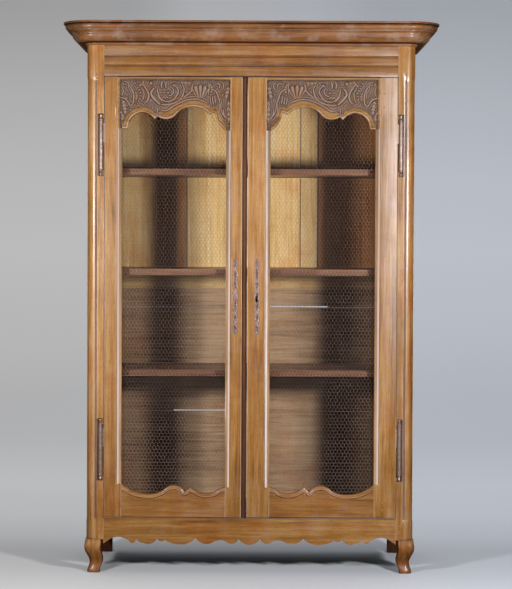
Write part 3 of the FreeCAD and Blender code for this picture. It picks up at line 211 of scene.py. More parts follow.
def counted(tree, operation, *values):
    """A sum done on grey values and numbers."""
    node = tree.nodes.new("ShaderNodeMath")
    node.operation = operation
    return filled(tree, node, dict(enumerate(values))).outputs[0]


def weighed(tree, parts):
    """Sum of grey values, each with its weight."""
    total = 0.0
    for grey, weight in parts:
        total = counted(tree, "MULTIPLY_ADD", grey, weight, total)
    return total


def product(tree, first, second):
    """Two grey values multiplied."""
    return counted(tree, "MULTIPLY", first, second)


def close_to(tree, grey, middles, reach):
    """1 where a grey value lies within reach of any of some middle values, else 0."""
    return weighed(tree, [(counted(tree, "COMPARE", grey, middle, reach), 1.0) for middle in middles])


def dotted(tree, first, second):
    """Dot product of two vectors as a grey value."""
    node = tree.nodes.new("ShaderNodeVectorMath")
    node.operation = "DOT_PRODUCT"
    return filled(tree, node, {0: first, 1: second}).outputs["Value"]


def raised(tree, shader, grey, strength, distance):
    """Bump on the shader from a grey value."""
    node = added(tree, "ShaderNodeBump", {"Strength": strength, "Distance": distance, "Height": grey})
    tree.links.new(node.outputs["Normal"], shader.inputs["Normal"])


# %% [markdown]
# ## Studio light
# Two small soft lamps stand left and right in front of the cabinet, a little above half its height. They
# make bright lines along the rounded beads, which a highlight painted into the beads' finish strengthens,
# and through the two openings they throw the dark bands seen inside, which painted shadow on some back
# boards deepens. The world is very dim from the front, so those bands stay deep, and brighter from above and
# behind, so that the back can be looked at too. The camera itself sees the world as an even pale grey.

# %% Lamps and world
LAMPS = {"left": (32.0, (-1.36, -2.06, 1.35)), "right": (54.0, (1.45, -2.38, 1.35))}
LAMP_SIZE = 0.30
LAMP_AIM = Vector((0.0, FRONT_FACE_Y, 1.25))
SKY_COLOUR = (0.94, 0.965, 1.0, 1.0)
SKY_REAR = (0.0, 0.5, 0.87)
SKY_REAR_START, SKY_REAR_END = 0.45, 0.9
FRONT_FILL = 0.006
REAR_FILL = 0.6
SEEN_SKY = 0.52
for side_name, (lamp_power, lamp_place) in LAMPS.items():
    lamp_data = bpy.data.lights.new(side_name + "_lamp", "AREA")
    lamp_data.shape = "DISK"
    lamp_data.size = LAMP_SIZE
    lamp_data.energy = lamp_power
    lamp = bpy.data.objects.new(side_name + "_lamp", lamp_data)
    lamp.location = lamp_place
    lamp.rotation_euler = (LAMP_AIM - lamp.location).to_track_quat("-Z", "Y").to_euler()
    lamp.visible_camera = False
    scene_objects.link(lamp)

world = bpy.data.worlds.new("studio_world")
bpy.context.scene.world = world
world.use_nodes = True
world_tree = world.node_tree
sky_way = world_tree.nodes.new("ShaderNodeTexCoord").outputs["Generated"]
sky_fill = dotted(world_tree, sky_way, SKY_REAR)
sky_fill = levels(world_tree, sky_fill, SKY_REAR_START, SKY_REAR_END, FRONT_FILL, REAR_FILL)
sky_ray = world_tree.nodes.new("ShaderNodeLightPath").outputs["Is Camera Ray"]
sky_light = added(world_tree, "ShaderNodeMix", {"Factor": sky_ray, "A": sky_fill, "B": SEEN_SKY})
sky_inputs = {"Color": SKY_COLOUR, "Strength": sky_light.outputs["Result"]}
filled(world_tree, world_tree.nodes["Background"], sky_inputs)
bpy.context.scene.view_settings.view_transform = "Standard"
print("lamps:", len(LAMPS), "fill in front and behind:", FRONT_FILL, REAR_FILL)

# %% [markdown]
# ## Paper sweep
# The floor rises into a wall behind, as a roll of grey paper does, so no horizon cuts the picture. One
# sheet is enough: its back edge is spun through a quarter circle and then drawn up.

# %% Paper sweep
SWEEP_RADIUS = 1.6
SWEEP_BACK = 3.0
SWEEP_HALF_WIDTH, SWEEP_HALF_DEPTH = 9.0, 6.0
WALL_HEIGHT = 5.0


def picked(geom, kind):
    """The vertices, edges or faces among what an operator made."""
    return [item for item in geom if isinstance(item, kind)]


sweep_mesh = bmesh.new()
bmesh.ops.create_grid(sweep_mesh, x_segments=1, y_segments=1, size=1.0)
floor_size = Matrix.Diagonal((SWEEP_HALF_WIDTH, SWEEP_HALF_DEPTH, 1.0, 1.0))
floor_place = Matrix.Translation((0.0, SWEEP_BACK - SWEEP_HALF_DEPTH, 0.0))
bmesh.ops.transform(sweep_mesh, verts=sweep_mesh.verts, matrix=floor_place @ floor_size)
back_edge = [edge for edge in sweep_mesh.edges if all(vert.co.y > SWEEP_BACK - 0.1 for vert in edge.verts)]
bent = bmesh.ops.spin(
    sweep_mesh, geom=back_edge, cent=(0.0, SWEEP_BACK, SWEEP_RADIUS), axis=(1.0, 0.0, 0.0),
    dvec=(0.0, 0.0, 0.0), angle=math.radians(90.0), steps=24, use_duplicate=False,
)
wall = bmesh.ops.extrude_edge_only(sweep_mesh, edges=picked(bent["geom_last"], BMEdge))
bmesh.ops.translate(sweep_mesh, verts=picked(wall["geom"], BMVert), vec=(0.0, 0.0, WALL_HEIGHT))
bmesh.ops.recalc_face_normals(sweep_mesh, faces=sweep_mesh.faces)
floor_face = max(sweep_mesh.faces, key=lambda face: face.calc_area())
if floor_face.normal.z < 0.0:
    bmesh.ops.reverse_faces(sweep_mesh, faces=sweep_mesh.faces)
sweep_data = bpy.data.meshes.new("paper_sweep")
sweep_mesh.to_mesh(sweep_data)
sweep_mesh.free()
sweep_data.polygons.foreach_set("use_smooth", [True] * len(sweep_data.polygons))
sweep = bpy.data.objects.new("paper_sweep", sweep_data)
sweep.visible_diffuse = False
sweep.visible_glossy = False
sweep.visible_shadow = False
scene_objects.link(sweep)
print("sweep faces:", len(sweep_data.polygons))

# %% [markdown]
# ## Painted shade and dirt
# Shade is painted dark along the gaps round the doors and beside the hinges, and old wax is dark in the
# quirks of the posts. Every groove is darker, partly as painted shade and partly as old wax, and faces that
# look into the cabinet are painted darker as shade. The gaps are listed by place; the grooves are found by
# how much of the sky a spot sees.

# %% Masks for painted shade and dirt
# The first three seams are painted shade: the door edges, the door tops and bottoms, and the hinges; the
# fourth, weaker one is the old wax in the posts' quirks.
SEAMS = (
    ("x", (-0.585, 0.585), 0.0026, "z", (1.105,), 0.885, 1.0),
    ("z", (0.2225, 1.9875), 0.0034, "x", (0.0,), 0.586, 1.0),
    ("x", (-0.6095, 0.6095), 0.0030, "z", (0.496, 1.714), 0.124, 0.9),
    ("x", (-0.6175, 0.6175), 0.0040, "z", (1.115,), 0.885, 0.3),
)
SEAM_BACK_Y, SEAM_FRONT_Y = -0.195, -0.2
OPEN_SKY, HIDDEN_SKY = 0.90, 0.48


def seam_shade_and_dirt(tree):
    """Above 0 in the door gaps and by the hinges, where shade is painted, and in the posts' quirks (old
    wax).

    Each seam has its places and half width along one axis, its middles and reach along another, and its
    weight."""
    along = {axis: coordinate(tree, axis) for axis in "xyz"}
    lines = []
    for across, places, half_width, run, middles, reach, weight in SEAMS:
        line = close_to(tree, along[across], places, half_width)
        lines.append((product(tree, line, close_to(tree, along[run], middles, reach)), weight))
    return product(tree, weighed(tree, lines), levels(tree, along["y"], SEAM_BACK_Y, SEAM_FRONT_Y))


def facing_inside(tree, start):
    """1 on faces behind a start along Y that look towards the middle of the cabinet, half on level faces."""
    place = tree.nodes.new("ShaderNodeTexCoord")
    level = tree.nodes.new("ShaderNodeVectorMath")
    level.operation = "MULTIPLY"
    filled(tree, level, {0: place.outputs["Object"], 1: (1.0, 1.0, 0.0)})
    away = dotted(tree, level.outputs["Vector"], place.outputs["Normal"])
    inward = levels(tree, away, 0.002, -0.002)
    return product(tree, inward, levels(tree, coordinate(tree, "y"), start, start + 0.001))


def hollows(tree, reach):
    """0 on open faces, 1 deep in the grooves and corners of a piece, where old wax and dust collect and
    shade is painted.
    """
    node = added(tree, "ShaderNodeAmbientOcclusion", {"Distance": reach})
    node.samples = 6
    node.only_local = True
    return levels(tree, node.outputs["AO"], OPEN_SKY, HIDDEN_SKY)


print("kinds of seam:", len(SEAMS))

# %% [markdown]
# ## Wood
# Old waxed hardwood has bands of growth a finger wide, darker streaks and fine fibres along them, short
# dark pores, redder clouds, a few worm holes, and broad patches where hands and cloths have darkened or
# rubbed it. Each of these is one noise, stretched along the grain. Near the floor the wood is darker, and
# dust greys it in clouds. The grain runs along the length of a piece, so the same recipe is made for upright
# pieces, for pieces across the front, and for those that run front to back.

# %% Wood recipe
GRAIN_STRETCH = 0.045
AXES = {"x": 0, "y": 1, "z": 2}
GROWTH_SCALE, STREAK_SCALE, FIBRE_SCALE, PORE_SCALE = 34.0, 130.0, 420.0, 1300.0
PATCH_SCALE, BLUSH_SCALE, DUST_SCALE, WORM_SCALE = 3.2, 8.0, 12.0, 26.0
BLUSH_TINT = (0.90, 0.68, 0.54)
PORE_TINT = (0.45, 0.38, 0.33)
WORM_TINT = (0.25, 0.18, 0.14)
ANKLE_TINT = (0.62, 0.44, 0.37)
# The first tone is wear on the arrises and, on the beads, part of a painted highlight; the second is a
# painted highlight.
WEAR_AND_HIGHLIGHT_TONE = (0.78, 0.58, 0.45)
HIGHLIGHT_TONE = (0.97, 0.86, 0.80)
DUST_TONE = (0.41, 0.285, 0.225)
# The next three tints paint shade: in the door gaps and by the hinges (with old wax in the posts' quirks),
# on faces that look into the cabinet, and in grooves (with old wax).
SEAM_SHADE_AND_DIRT_TINT = (0.17, 0.095, 0.07)
INSIDE_SHADE_TINT = (0.30, 0.21, 0.165)
GRIME_AND_SHADE_TINT = (0.30, 0.19, 0.14)
PLAIN = (1.0, 1.0, 1.0)
DOOR_INSIDE = -0.1835
GROOVE_REACH = 0.010
GRAIN_DEPTH = 0.0006


def growth_and_streaks(tree, along):
    """The two broad bands of the grain."""
    return (cloud(tree, along, GROWTH_SCALE, 3.0, 0.5, 1.6), cloud(tree, along, STREAK_SCALE, 3.0, 0.6, 0.6))


def wood_finish(name, grain, dark, middle, light, roughness, coat, shift=0.0, foot_shade=1.0, wear=0.8,
                inside=INSIDE_SHADE_TINT, stains_and_shadows=(), grime_and_shade=GRIME_AND_SHADE_TINT, dust=0.0,
                inside_from=DOOR_INSIDE, old_boards_and_shadows=(), painted_sheen=()):
    """Waxed wood with its grain along one axis; foot_shade is how dark it is near the floor.

    Inside faces are painted darker as shade, grooves darker as painted shade and old wax. What lies beyond
    each stain's two places along X and each old board between its two edges is tinted; on the back boards
    some of these are painted shadow. A painted sheen grows from one place along X to another and fades
    towards the floor."""
    material, tree, shader = new_finish(name)
    scale = [1.0, 1.0, 1.0]
    scale[AXES[grain]] = GRAIN_STRETCH
    along = stretched(tree, scale, (shift, shift * 0.7, shift * 1.3))
    broad = stretched(tree, shift=(shift, 0.0, shift))
    x, z = coordinate(tree, "x"), coordinate(tree, "z")
    growth, streaks = growth_and_streaks(tree, along)
    fibre = cloud(tree, along, FIBRE_SCALE, 3.0, 0.6)
    patches = cloud(tree, broad, PATCH_SCALE, 3.0, 0.55)
    pores = levels(tree, cloud(tree, along, PORE_SCALE, 2.0, 0.5), 0.36, 0.44)
    blush = cloud(tree, broad, BLUSH_SCALE, 3.0, 0.6)
    tone = weighed(tree, ((growth, 0.42), (streaks, 0.34), (fibre, 0.14), (patches, 0.34)))
    colour = toned(tree, tone, ((0.47, dark), (0.62, middle), (0.78, light)))
    colour = tinted(tree, colour, (
        (levels(tree, blush, 0.48, 0.66, 0.0, 0.7), BLUSH_TINT),
        (0.55, toned(tree, pores, ((0.0, PORE_TINT), (1.0, PLAIN)))),
        (levels(tree, spots(tree, broad, WORM_SCALE), 0.035, 0.05, 1.0, 0.0), WORM_TINT),
        (1.0, levels(tree, z, 0.2, 1.45, foot_shade, 1.0)),
        (levels(tree, z, 0.14, 0.05, 0.0, 0.9), ANKLE_TINT),
    ))
    dusty = levels(tree, cloud(tree, broad, DUST_SCALE, 4.0, 0.62), 0.50, 0.66, 0.0, dust)
    colour = mixed(tree, "MIX", dusty, colour, DUST_TONE)
    # Painted shade: faces that look into the cabinet are darker; grooves are darker as painted shade and old
    # wax.
    tints = [(facing_inside(tree, inside_from), inside), (hollows(tree, GROOVE_REACH), grime_and_shade)]
    # Painted shade in the door gaps and by the hinges, and old wax in the posts' quirks.
    tints.append((seam_shade_and_dirt(tree), SEAM_SHADE_AND_DIRT_TINT))
    # Stains along X and old boards; on the back boards some of them are painted shadow.
    tints += [(levels(tree, x, start, end), tint) for start, end, tint in stains_and_shadows]
    for left, right, tint in old_boards_and_shadows:
        tints.append((close_to(tree, x, ((left + right) / 2,), (right - left) / 2), tint))
    colour = tinted(tree, colour, tints)
    # Painted sheen: a pale reflection of a lamp on the stile, fading towards the floor.
    for start, end, amount in painted_sheen:
        pale = product(tree, levels(tree, x, start, end, 0.0, amount), levels(tree, z, 0.6, 1.6))
        uneven = weighed(tree, ((blush, 0.6), (streaks, 0.4)))
        pale = product(tree, pale, levels(tree, uneven, 0.38, 0.62, 0.5, 1.3))
        colour = mixed(tree, "MIX", pale, colour, HIGHLIGHT_TONE)
    # Where the mesh is marked: on arrises the lightening is wear; on the beads, marked above 1, it is a
    # painted highlight, brightened further by the mix below.
    wear_and_highlight = marked(tree, "wear_and_highlight")
    rubbed = levels(tree, weighed(tree, ((wear_and_highlight, 1.0), (patches, 0.5))), 0.9, 1.4, 0.0, wear)
    colour = mixed(tree, "MIX", rubbed, colour, WEAR_AND_HIGHLIGHT_TONE)
    highlight = levels(tree, wear_and_highlight, 1.1, 1.6, 0.0, 0.9)
    highlight = product(tree, highlight, levels(tree, blush, 0.38, 0.62, 0.45, 1.0))
    colour = mixed(tree, "MIX", highlight, colour, HIGHLIGHT_TONE)
    gloss = weighed(tree, ((patches, 0.30), (fibre, 0.20)))
    gloss = levels(tree, gloss, 0.15, 0.35, roughness + 0.10, roughness - 0.06)
    filled(tree, shader, {
        "Base Color": colour, "Roughness": gloss, "Coat Weight": coat, "Coat Roughness": 0.2,
        "Specular IOR Level": 0.45,
    })
    grain_height = weighed(tree, ((fibre, 0.6), (pores, 0.4), (growth, 0.5), (streaks, 0.3)))
    raised(tree, shader, grain_height, 0.35, GRAIN_DEPTH)
    return material


# %% [markdown]
# ## Kinds of wood
# Doors and posts are honey brown, the rails and the cornice darker, the shelves red. The boards of the back
# are pale above and grey below; darker bands on them are partly old boards and seams and partly painted
# shadow of the stiles, and the right hinge stile carries a painted sheen. The recipe is called once for each
# kind and way of the grain, so a change to the recipe reaches them all.

# %% Wood finishes
HONEY = ((0.23, 0.090, 0.016), (0.44, 0.200, 0.045), (0.62, 0.36, 0.155), 0.36, 0.4)
CORNER_STAIN = (0.78, 0.86, 0.98)
honey = {
    grain: wood_finish("honey_wood_" + grain, grain, *HONEY, foot_shade=0.9, dust=0.16) for grain in AXES
}
post_honey = wood_finish(
    "post_wood", "z", (0.28, 0.113, 0.022), (0.535, 0.250, 0.062), (0.74, 0.44, 0.205), 0.36, 0.4,
    foot_shade=0.9, dust=0.16)
# The right hinge stile carries a painted sheen.
sheen_stile = wood_finish(
    "sheen_stile_wood", "z", *HONEY, foot_shade=0.9, dust=0.16, painted_sheen=((0.495, 0.585, 0.44),))
rail_honey = wood_finish(
    "rail_wood", "x", (0.18, 0.068, 0.014), (0.36, 0.153, 0.033), (0.50, 0.265, 0.092), 0.40, 0.3, 0.3, 0.95,
    wear=0.2, dust=0.2)
cornice_wood = {
    grain: wood_finish("cornice_wood_" + grain, grain, (0.115, 0.043, 0.014), (0.295, 0.116, 0.032),
                       (0.43, 0.235, 0.11), 0.46, 0.25, 0.7, wear=0.25, dust=0.55,
                       stains_and_shadows=((-0.66, -0.70, CORNER_STAIN), (0.66, 0.70, CORNER_STAIN)))
    for grain in ("x", "y")
}
# On the pale back boards the bands from -0.400 to -0.277 are painted shadow of the meeting stiles, the board
# beyond 0.281 is darker wood with painted shadow on it, and the narrow dark bands are seams.
pale_boards = wood_finish(
    "pale_board_wood", "z", (0.60, 0.345, 0.110), (0.86, 0.565, 0.215), (0.93, 0.72, 0.40), 0.62, 0.0, 0.4,
    inside=PLAIN, grime_and_shade=PLAIN,
    old_boards_and_shadows=((-0.400, -0.317, (0.40, 0.32, 0.29)), (-0.317, -0.277, (0.62, 0.43, 0.34)),
                (-0.277, -0.270, (0.20, 0.14, 0.12)), (0.2065, 0.2125, (0.30, 0.20, 0.15)),
                (0.281, 0.60, (0.56, 0.335, 0.20)), (0.279, 0.288, (0.30, 0.24, 0.22))))
# The stains on the lower back boards are painted shadow, darker to the right and a little darker to the
# left.
grey_boards = wood_finish(
    "grey_board_wood", "x", (0.22, 0.125, 0.062), (0.41, 0.255, 0.135), (0.55, 0.37, 0.21), 0.66, 0.0, 0.9,
    inside=PLAIN, stains_and_shadows=((0.26, 0.34, (0.42, 0.35, 0.31)), (-0.26, -0.34, (0.80, 0.74, 0.70))), grime_and_shade=PLAIN)
# The stain on the back rails, right of the middle, is painted shadow.
rail_pale = wood_finish(
    "pale_rail_wood", "x", (0.42, 0.24, 0.080), (0.62, 0.39, 0.145), (0.74, 0.51, 0.24), 0.6, 0.0, 0.2,
    inside=PLAIN, stains_and_shadows=((0.26, 0.34, (0.42, 0.34, 0.29)),), grime_and_shade=PLAIN)
dark_boards = wood_finish(
    "dark_board_wood", "x", (0.10, 0.048, 0.024), (0.19, 0.098, 0.050), (0.28, 0.16, 0.09), 0.6, 0.0, 0.5)
# Behind their front edge the shelves' faces are painted darker as shade.
red_shelves = wood_finish(
    "red_shelf_wood", "x", (0.10, 0.032, 0.012), (0.20, 0.074, 0.029), (0.32, 0.15, 0.065), 0.42, 0.2, 0.6,
    wear=0.3, inside=(0.32, 0.26, 0.24), inside_from=-0.140)
# Painted shade: the floor of the left meeting stile's rebate is dark as if in shade.
rebate_shade_wood = wood_finish(
    "shaded_rebate_wood", "z", (0.070, 0.024, 0.008), (0.145, 0.052, 0.016), (0.22, 0.09, 0.03), 0.7, 0.0, 0.1)
print("wood finishes:", len([item for item in bpy.data.materials if "wood" in item.name]))

# %% [markdown]
# ## Carved wood
# The hollows of the carving are dark, partly as painted shade and partly as dust and old wax, and its
# crests pale, partly as wear and partly as painted highlight. The carved pieces store how far each spot
# stands above its surroundings, so the finish can follow it; edge beads and fillets are marked as polished
# and keep the honey tone of the doors, and the crest of the edge bead gets a painted highlight.

# %% Carved finish
CREST_HIGHLIGHT_TONE = (0.60, 0.41, 0.32)


def carved_finish(name):
    """Carved wood: darker in its hollows (painted shade and dirt), paler on its crests (wear and painted
    highlight), honey where polished.
    """
    material, tree, shader = new_finish(name)
    place = stretched(tree)
    growth, streaks = growth_and_streaks(tree, stretched(tree, (GRAIN_STRETCH, 1.0, 1.0)))
    mottle = cloud(tree, place, 110.0, 4.0, 0.65)
    hue = cloud(tree, place, 22.0, 3.0, 0.6)
    # How high a spot stands sets its colour: the hollows get painted shade and dirt, the crests a pale
    # painted highlight.
    stand = weighed(tree, ((marked(tree, "cavity"), 0.74), (marked(tree, "relief"), 0.22), (mottle, 0.30)))
    carved = toned(tree, stand, (
        (0.30, (0.060, 0.032, 0.019)), (0.58, (0.195, 0.113, 0.072)), (0.84, (0.355, 0.238, 0.176)),
    ))
    tint = toned(tree, hue, (
        (0.38, (0.88, 0.86, 0.98)), (0.50, (1.0, 0.95, 0.92)), (0.66, (1.0, 0.76, 0.54)),
    ))
    carved = mixed(tree, "MULTIPLY", 1.0, carved, tint)
    smooth = weighed(tree, ((growth, 0.5), (streaks, 0.4), (mottle, 0.2)))
    smooth = toned(tree, smooth, (
        (0.40, (0.17, 0.070, 0.020)), (0.55, (0.36, 0.170, 0.046)), (0.70, (0.50, 0.29, 0.11)),
    ))
    colour = mixed(tree, "MIX", marked(tree, "polish"), carved, smooth)
    # A painted highlight on the crest of the edge bead.
    rubbed = levels(tree, marked(tree, "wear_and_highlight"), 0.5, 1.0)
    rubbed = product(tree, rubbed, levels(tree, hue, 0.40, 0.62, 0.05, 0.7))
    colour = mixed(tree, "MIX", rubbed, colour, CREST_HIGHLIGHT_TONE)
    # Painted shade on faces that look into the cabinet and in the door gaps.
    tints = (facing_inside(tree, DOOR_INSIDE), INSIDE_SHADE_TINT), (seam_shade_and_dirt(tree), SEAM_SHADE_AND_DIRT_TINT)
    colour = tinted(tree, colour, tints)
    gloss = levels(tree, mottle, 0.3, 0.7, 0.62, 0.50)
    filled(tree, shader, {
        "Base Color": colour, "Roughness": gloss, "Coat Weight": 0.1, "Coat Roughness": 0.22,
    })
    raised(tree, shader, weighed(tree, ((streaks, 0.6), (mottle, 0.6))), 0.3, GRAIN_DEPTH)
    return material


carved_wood = carved_finish("old_carved_wood")
print("finish:", carved_wood.name)

# %% [markdown]
# ## Metal
# The hinges are worn steel with a brown bloom, the key plates iron with a brown skin rubbed bright at the
# edges, the lock dark forged iron and the netting dull galvanised wire. All are mottled by noise; marked
# edges are brighter.

# %% Metal recipe
PIT_DEPTH = 0.0008


def metal_finish(name, dark, light, scale, metallic, roughness, bump, bright=(0.60, 0.55, 0.50)):
    """Old metal with a mottled surface."""
    material, tree, shader = new_finish(name)
    place = stretched(tree)
    mottle = cloud(tree, place, scale, 5.0, 0.65)
    pits = cloud(tree, place, scale * 9.0, 3.0, 0.6)
    colour = toned(tree, weighed(tree, ((mottle, 0.7), (pits, 0.3))), ((0.36, dark), (0.64, light)))
    rubbed = levels(tree, weighed(tree, ((marked(tree, "wear_and_highlight"), 1.0), (mottle, 0.6))), 0.9, 1.5, 0.0, 0.7)
    colour = mixed(tree, "MIX", rubbed, colour, bright)
    gloss = levels(tree, mottle, 0.3, 0.7, roughness + 0.14, roughness - 0.08)
    filled(tree, shader, {"Base Color": colour, "Roughness": gloss, "Metallic": metallic})
    raised(tree, shader, pits, bump, PIT_DEPTH)
    return material


hinge_steel = metal_finish(
    "worn_hinge_steel", (0.25, 0.155, 0.115), (0.54, 0.41, 0.34), 60.0, 0.6, 0.36, 0.25)
plate_iron = metal_finish(
    "chased_plate_iron", (0.15, 0.085, 0.070), (0.34, 0.215, 0.185), 140.0, 0.5, 0.42, 0.5,
    (0.40, 0.29, 0.25))
lock_iron = metal_finish("dark_lock_iron", (0.055, 0.045, 0.04), (0.16, 0.13, 0.115), 70.0, 0.8, 0.5, 0.35)
net_steel = metal_finish("dull_net_wire", (0.26, 0.18, 0.145), (0.42, 0.30, 0.25), 40.0, 0.1, 0.5, 0.1)
print("metal finishes: 4")

# %% [markdown]
# ## Paper
# The paper is a plain pale grey. Behind the cabinet it gets little light from the lamps, so there the
# camera sees it brighter than it is lit, step by step along the floor and up the wall; this extra glow
# reaches no other surface. Seen from behind the sheet is clear, so it never hides the cabinet's back.

# %% Paper finish
PAPER_START, PAPER_END = -1.0, 8.0
PAPER_LEFT, PAPER_RIGHT = (0.78, 0.78, 0.785), (0.74, 0.78, 0.86)
PAPER_GLOW = (
    (0.3, 0.0), (0.7, 0.14), (1.26, 0.25), (2.27, 0.322), (3.7, 0.31), (4.3, 0.356), (5.0, 0.455),
    (5.8, 0.545), (6.27, 0.536), (6.87, 0.462), (7.46, 0.362),
)
paper, paper_tree, paper_shader = new_finish("grey_paper")
paper_cloud = cloud(paper_tree, stretched(paper_tree), 0.6, 2.0)
paper_tone = weighed(paper_tree, ((coordinate(paper_tree, "x"), 0.35), (paper_cloud, 0.4)))
paper_tone = levels(paper_tree, paper_tone, -0.4, 0.8)
paper_colour = toned(paper_tree, paper_tone, ((0.2, PAPER_LEFT), (0.8, PAPER_RIGHT)))
paper_ray = paper_tree.nodes.new("ShaderNodeLightPath")
seen_ray = weighed(paper_tree, [
    (paper_ray.outputs[kind], 1.0) for kind in ("Is Camera Ray", "Is Glossy Ray", "Is Transmission Ray")
])
paper_way = weighed(paper_tree, ((coordinate(paper_tree, "y"), 1.0), (coordinate(paper_tree, "z"), 1.0)))
paper_way = levels(paper_tree, paper_way, PAPER_START, PAPER_END)
wall_glow = toned(paper_tree, paper_way, [
    ((place - PAPER_START) / (PAPER_END - PAPER_START), (glow, glow, glow)) for place, glow in PAPER_GLOW
])
paper_back = paper_tree.nodes.new("ShaderNodeNewGeometry").outputs["Backfacing"]
filled(paper_tree, paper_shader, {
    "Base Color": paper_colour, "Roughness": 0.9, "Specular IOR Level": 0.2, "Emission Color": paper_colour,
    "Emission Strength": product(paper_tree, seen_ray, wall_glow),
    "Alpha": levels(paper_tree, paper_back, 0.0, 1.0, 1.0, 0.0),
})
sweep_data.materials.append(paper)
print("steps of the paper's glow:", len(PAPER_GLOW))

# %% [markdown]
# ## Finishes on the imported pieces
# The solids whose shapes are right keep their meshes and only get a finish. The grain follows the longest
# side of each piece, which is what a joiner does for strength.

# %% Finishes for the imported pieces


def longest_axis(node_name):
    """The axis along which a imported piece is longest."""
    low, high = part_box(node_name)
    size = high - low
    return max(AXES, key=lambda axis: size[AXES[axis]])


SPECIAL_FINISHES = {
    "back_upper_boards": pale_boards, "back_lower_boards": grey_boards,
    "back_top_rail": rail_pale, "back_middle_rail": rail_pale, "back_bottom_rail": rail_pale,
    "top_boards": dark_boards, "floor_boards": dark_boards, "shelf_cleats": honey["y"],
    "cornice_front": cornice_wood["x"], "frieze_rail": rail_honey, "apron_rail": honey["x"],
    "cornice_return_left": cornice_wood["y"], "cornice_return_right": cornice_wood["y"],
    "front_post_left": post_honey, "right_hinge_stile": sheen_stile,
    "carcase_pegs": honey["y"], "left_door_pegs": honey["y"], "right_door_pegs": honey["y"],
}
SLOT_FINISHES = {
    "hinge_steel": hinge_steel, "plate_iron": plate_iron, "lock_iron": lock_iron, "net_wire": net_steel,
    "shelf_wood": red_shelves,
}


def finish_for(node_name):
    """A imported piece's own finish, or its slot's, or honey wood along its length."""
    if node_name in SPECIAL_FINISHES:
        return SPECIAL_FINISHES[node_name]
    if slot_of_node[node_name] in SLOT_FINISHES:
        return SLOT_FINISHES[slot_of_node[node_name]]
    return honey[longest_axis(node_name)]


for node_name, node_object in cabinet_nodes.items():
    node_object.data.materials.clear()
    node_object.data.materials.append(finish_for(node_name))
print("packed pieces finished:", len(cabinet_nodes))

# %% [markdown]
# ## Helpers for new pieces
# A new piece is drawn with mesh operators, turned into an object at the origin, tied to the body that it
# moves with, and the solid that it replaces is hidden. Faces are smooth, with sharp creases kept
# where two faces meet at a clear angle.

# %% Piece helpers
SIDES = ("left", "right")
CREASE = math.radians(38.0)


def new_piece(name, mesh, materials, replaced=(), body=None, crease=CREASE):
    """Make an object from a bmesh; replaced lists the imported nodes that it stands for."""
    bmesh.ops.recalc_face_normals(mesh, faces=mesh.faces)
    data = bpy.data.meshes.new(name)
    mesh.to_mesh(data)
    mesh.free()
    data.polygons.foreach_set("use_smooth", [True] * len(data.polygons))
    data.set_sharp_from_angle(angle=crease)
    for material in materials:
        data.materials.append(material)
    piece = bpy.data.objects.new(name, data)
    scene_objects.link(piece)
    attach(piece, body or body_of_node[replaced[0]])
    if replaced:
        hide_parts(*replaced)
    print(name, "faces:", len(data.polygons))


def merged_copy(node_name):
    """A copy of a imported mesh, with the corners of its faces joined."""
    mesh = bmesh.new()
    mesh.from_mesh(cabinet_nodes[node_name].data)
    bmesh.ops.remove_doubles(mesh, verts=mesh.verts, dist=1e-6)
    bmesh.ops.dissolve_limit(mesh, angle_limit=math.radians(0.5), verts=mesh.verts, edges=mesh.edges)
    bmesh.ops.recalc_face_normals(mesh, faces=mesh.faces)
    return mesh


# %% [markdown]
# ## Worn arrises
# No old edge is sharp: hands, cloths and knocks round it and rub the wax away, which draws a pale line
# along it. Each long outer arris is bevelled by a millimetre and its new faces are marked as worn, so the
# finish can lighten them. The beads beside the openings are marked higher, and there the finish paints a
# highlight; the floor of the left meeting stile's rebate gets a dark finish as painted shade. A bevel shader
# would round the light but not the shape.

# %% Rubbed copies of stiles, posts, rails, shelves and cornice
WORN_WIDTH = 0.0012
WORN_LENGTH = 0.03
WORN_ANGLE = math.radians(40.0)
LOWEST_ARRIS = 0.2
REBATE_FRONT_Y = FRONT_FACE_Y + 0.012
REBATE_WIDTH = 0.0205
BEAD_REAR_Y = FRONT_FACE_Y + 0.0042
# How strongly the hollows behind the beads, and the beads on each stile, are marked for a painted highlight.
HOLLOW_HIGHLIGHT = 0.85
SOFT_CREASE = math.radians(25.0)
BEAD_HIGHLIGHT = {
    "left_hinge_stile": 1.2, "left_meeting_stile": 1.35,
    "right_hinge_stile": 1.2, "right_meeting_stile": 1.55,
}


def is_arris(edge):
    """Whether an edge is long, outer, clear of the floor and sharp enough to be rubbed."""
    if len(edge.link_faces) != 2 or edge.calc_length() < WORN_LENGTH:
        return False
    if all(vert.co.z < LOWEST_ARRIS for vert in edge.verts):
        return False
    return edge.is_convex and edge.calc_face_angle() > WORN_ANGLE


def worn_copy(node_name):
    """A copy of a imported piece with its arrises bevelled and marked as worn."""
    mesh = merged_copy(node_name)
    wear_and_highlight = mesh.faces.layers.float.new("wear_and_highlight")
    arrises = [edge for edge in mesh.edges if is_arris(edge)]
    rubbed = bmesh.ops.bevel(
        mesh, geom=arrises, offset=WORN_WIDTH, offset_type="OFFSET", segments=2, profile=0.5, affect="EDGES",
        material=-1, clamp_overlap=False,
    )
    for face in rubbed["faces"]:
        face[wear_and_highlight] = 1.0
    return mesh


def mark_bead_highlights(mesh, highlight):
    """Mark the rounded beads beside a door's opening for a painted highlight; the hollow behind them gets a
    weaker one.
    """
    wear_and_highlight = mesh.faces.layers.float["wear_and_highlight"]
    for face in mesh.faces:
        if face.normal.y < -0.2 and abs(face.normal.x) > 0.04 and abs(face.normal.z) < 0.3:
            face[wear_and_highlight] = highlight if face.calc_center_median().y < BEAD_REAR_Y else HOLLOW_HIGHLIGHT


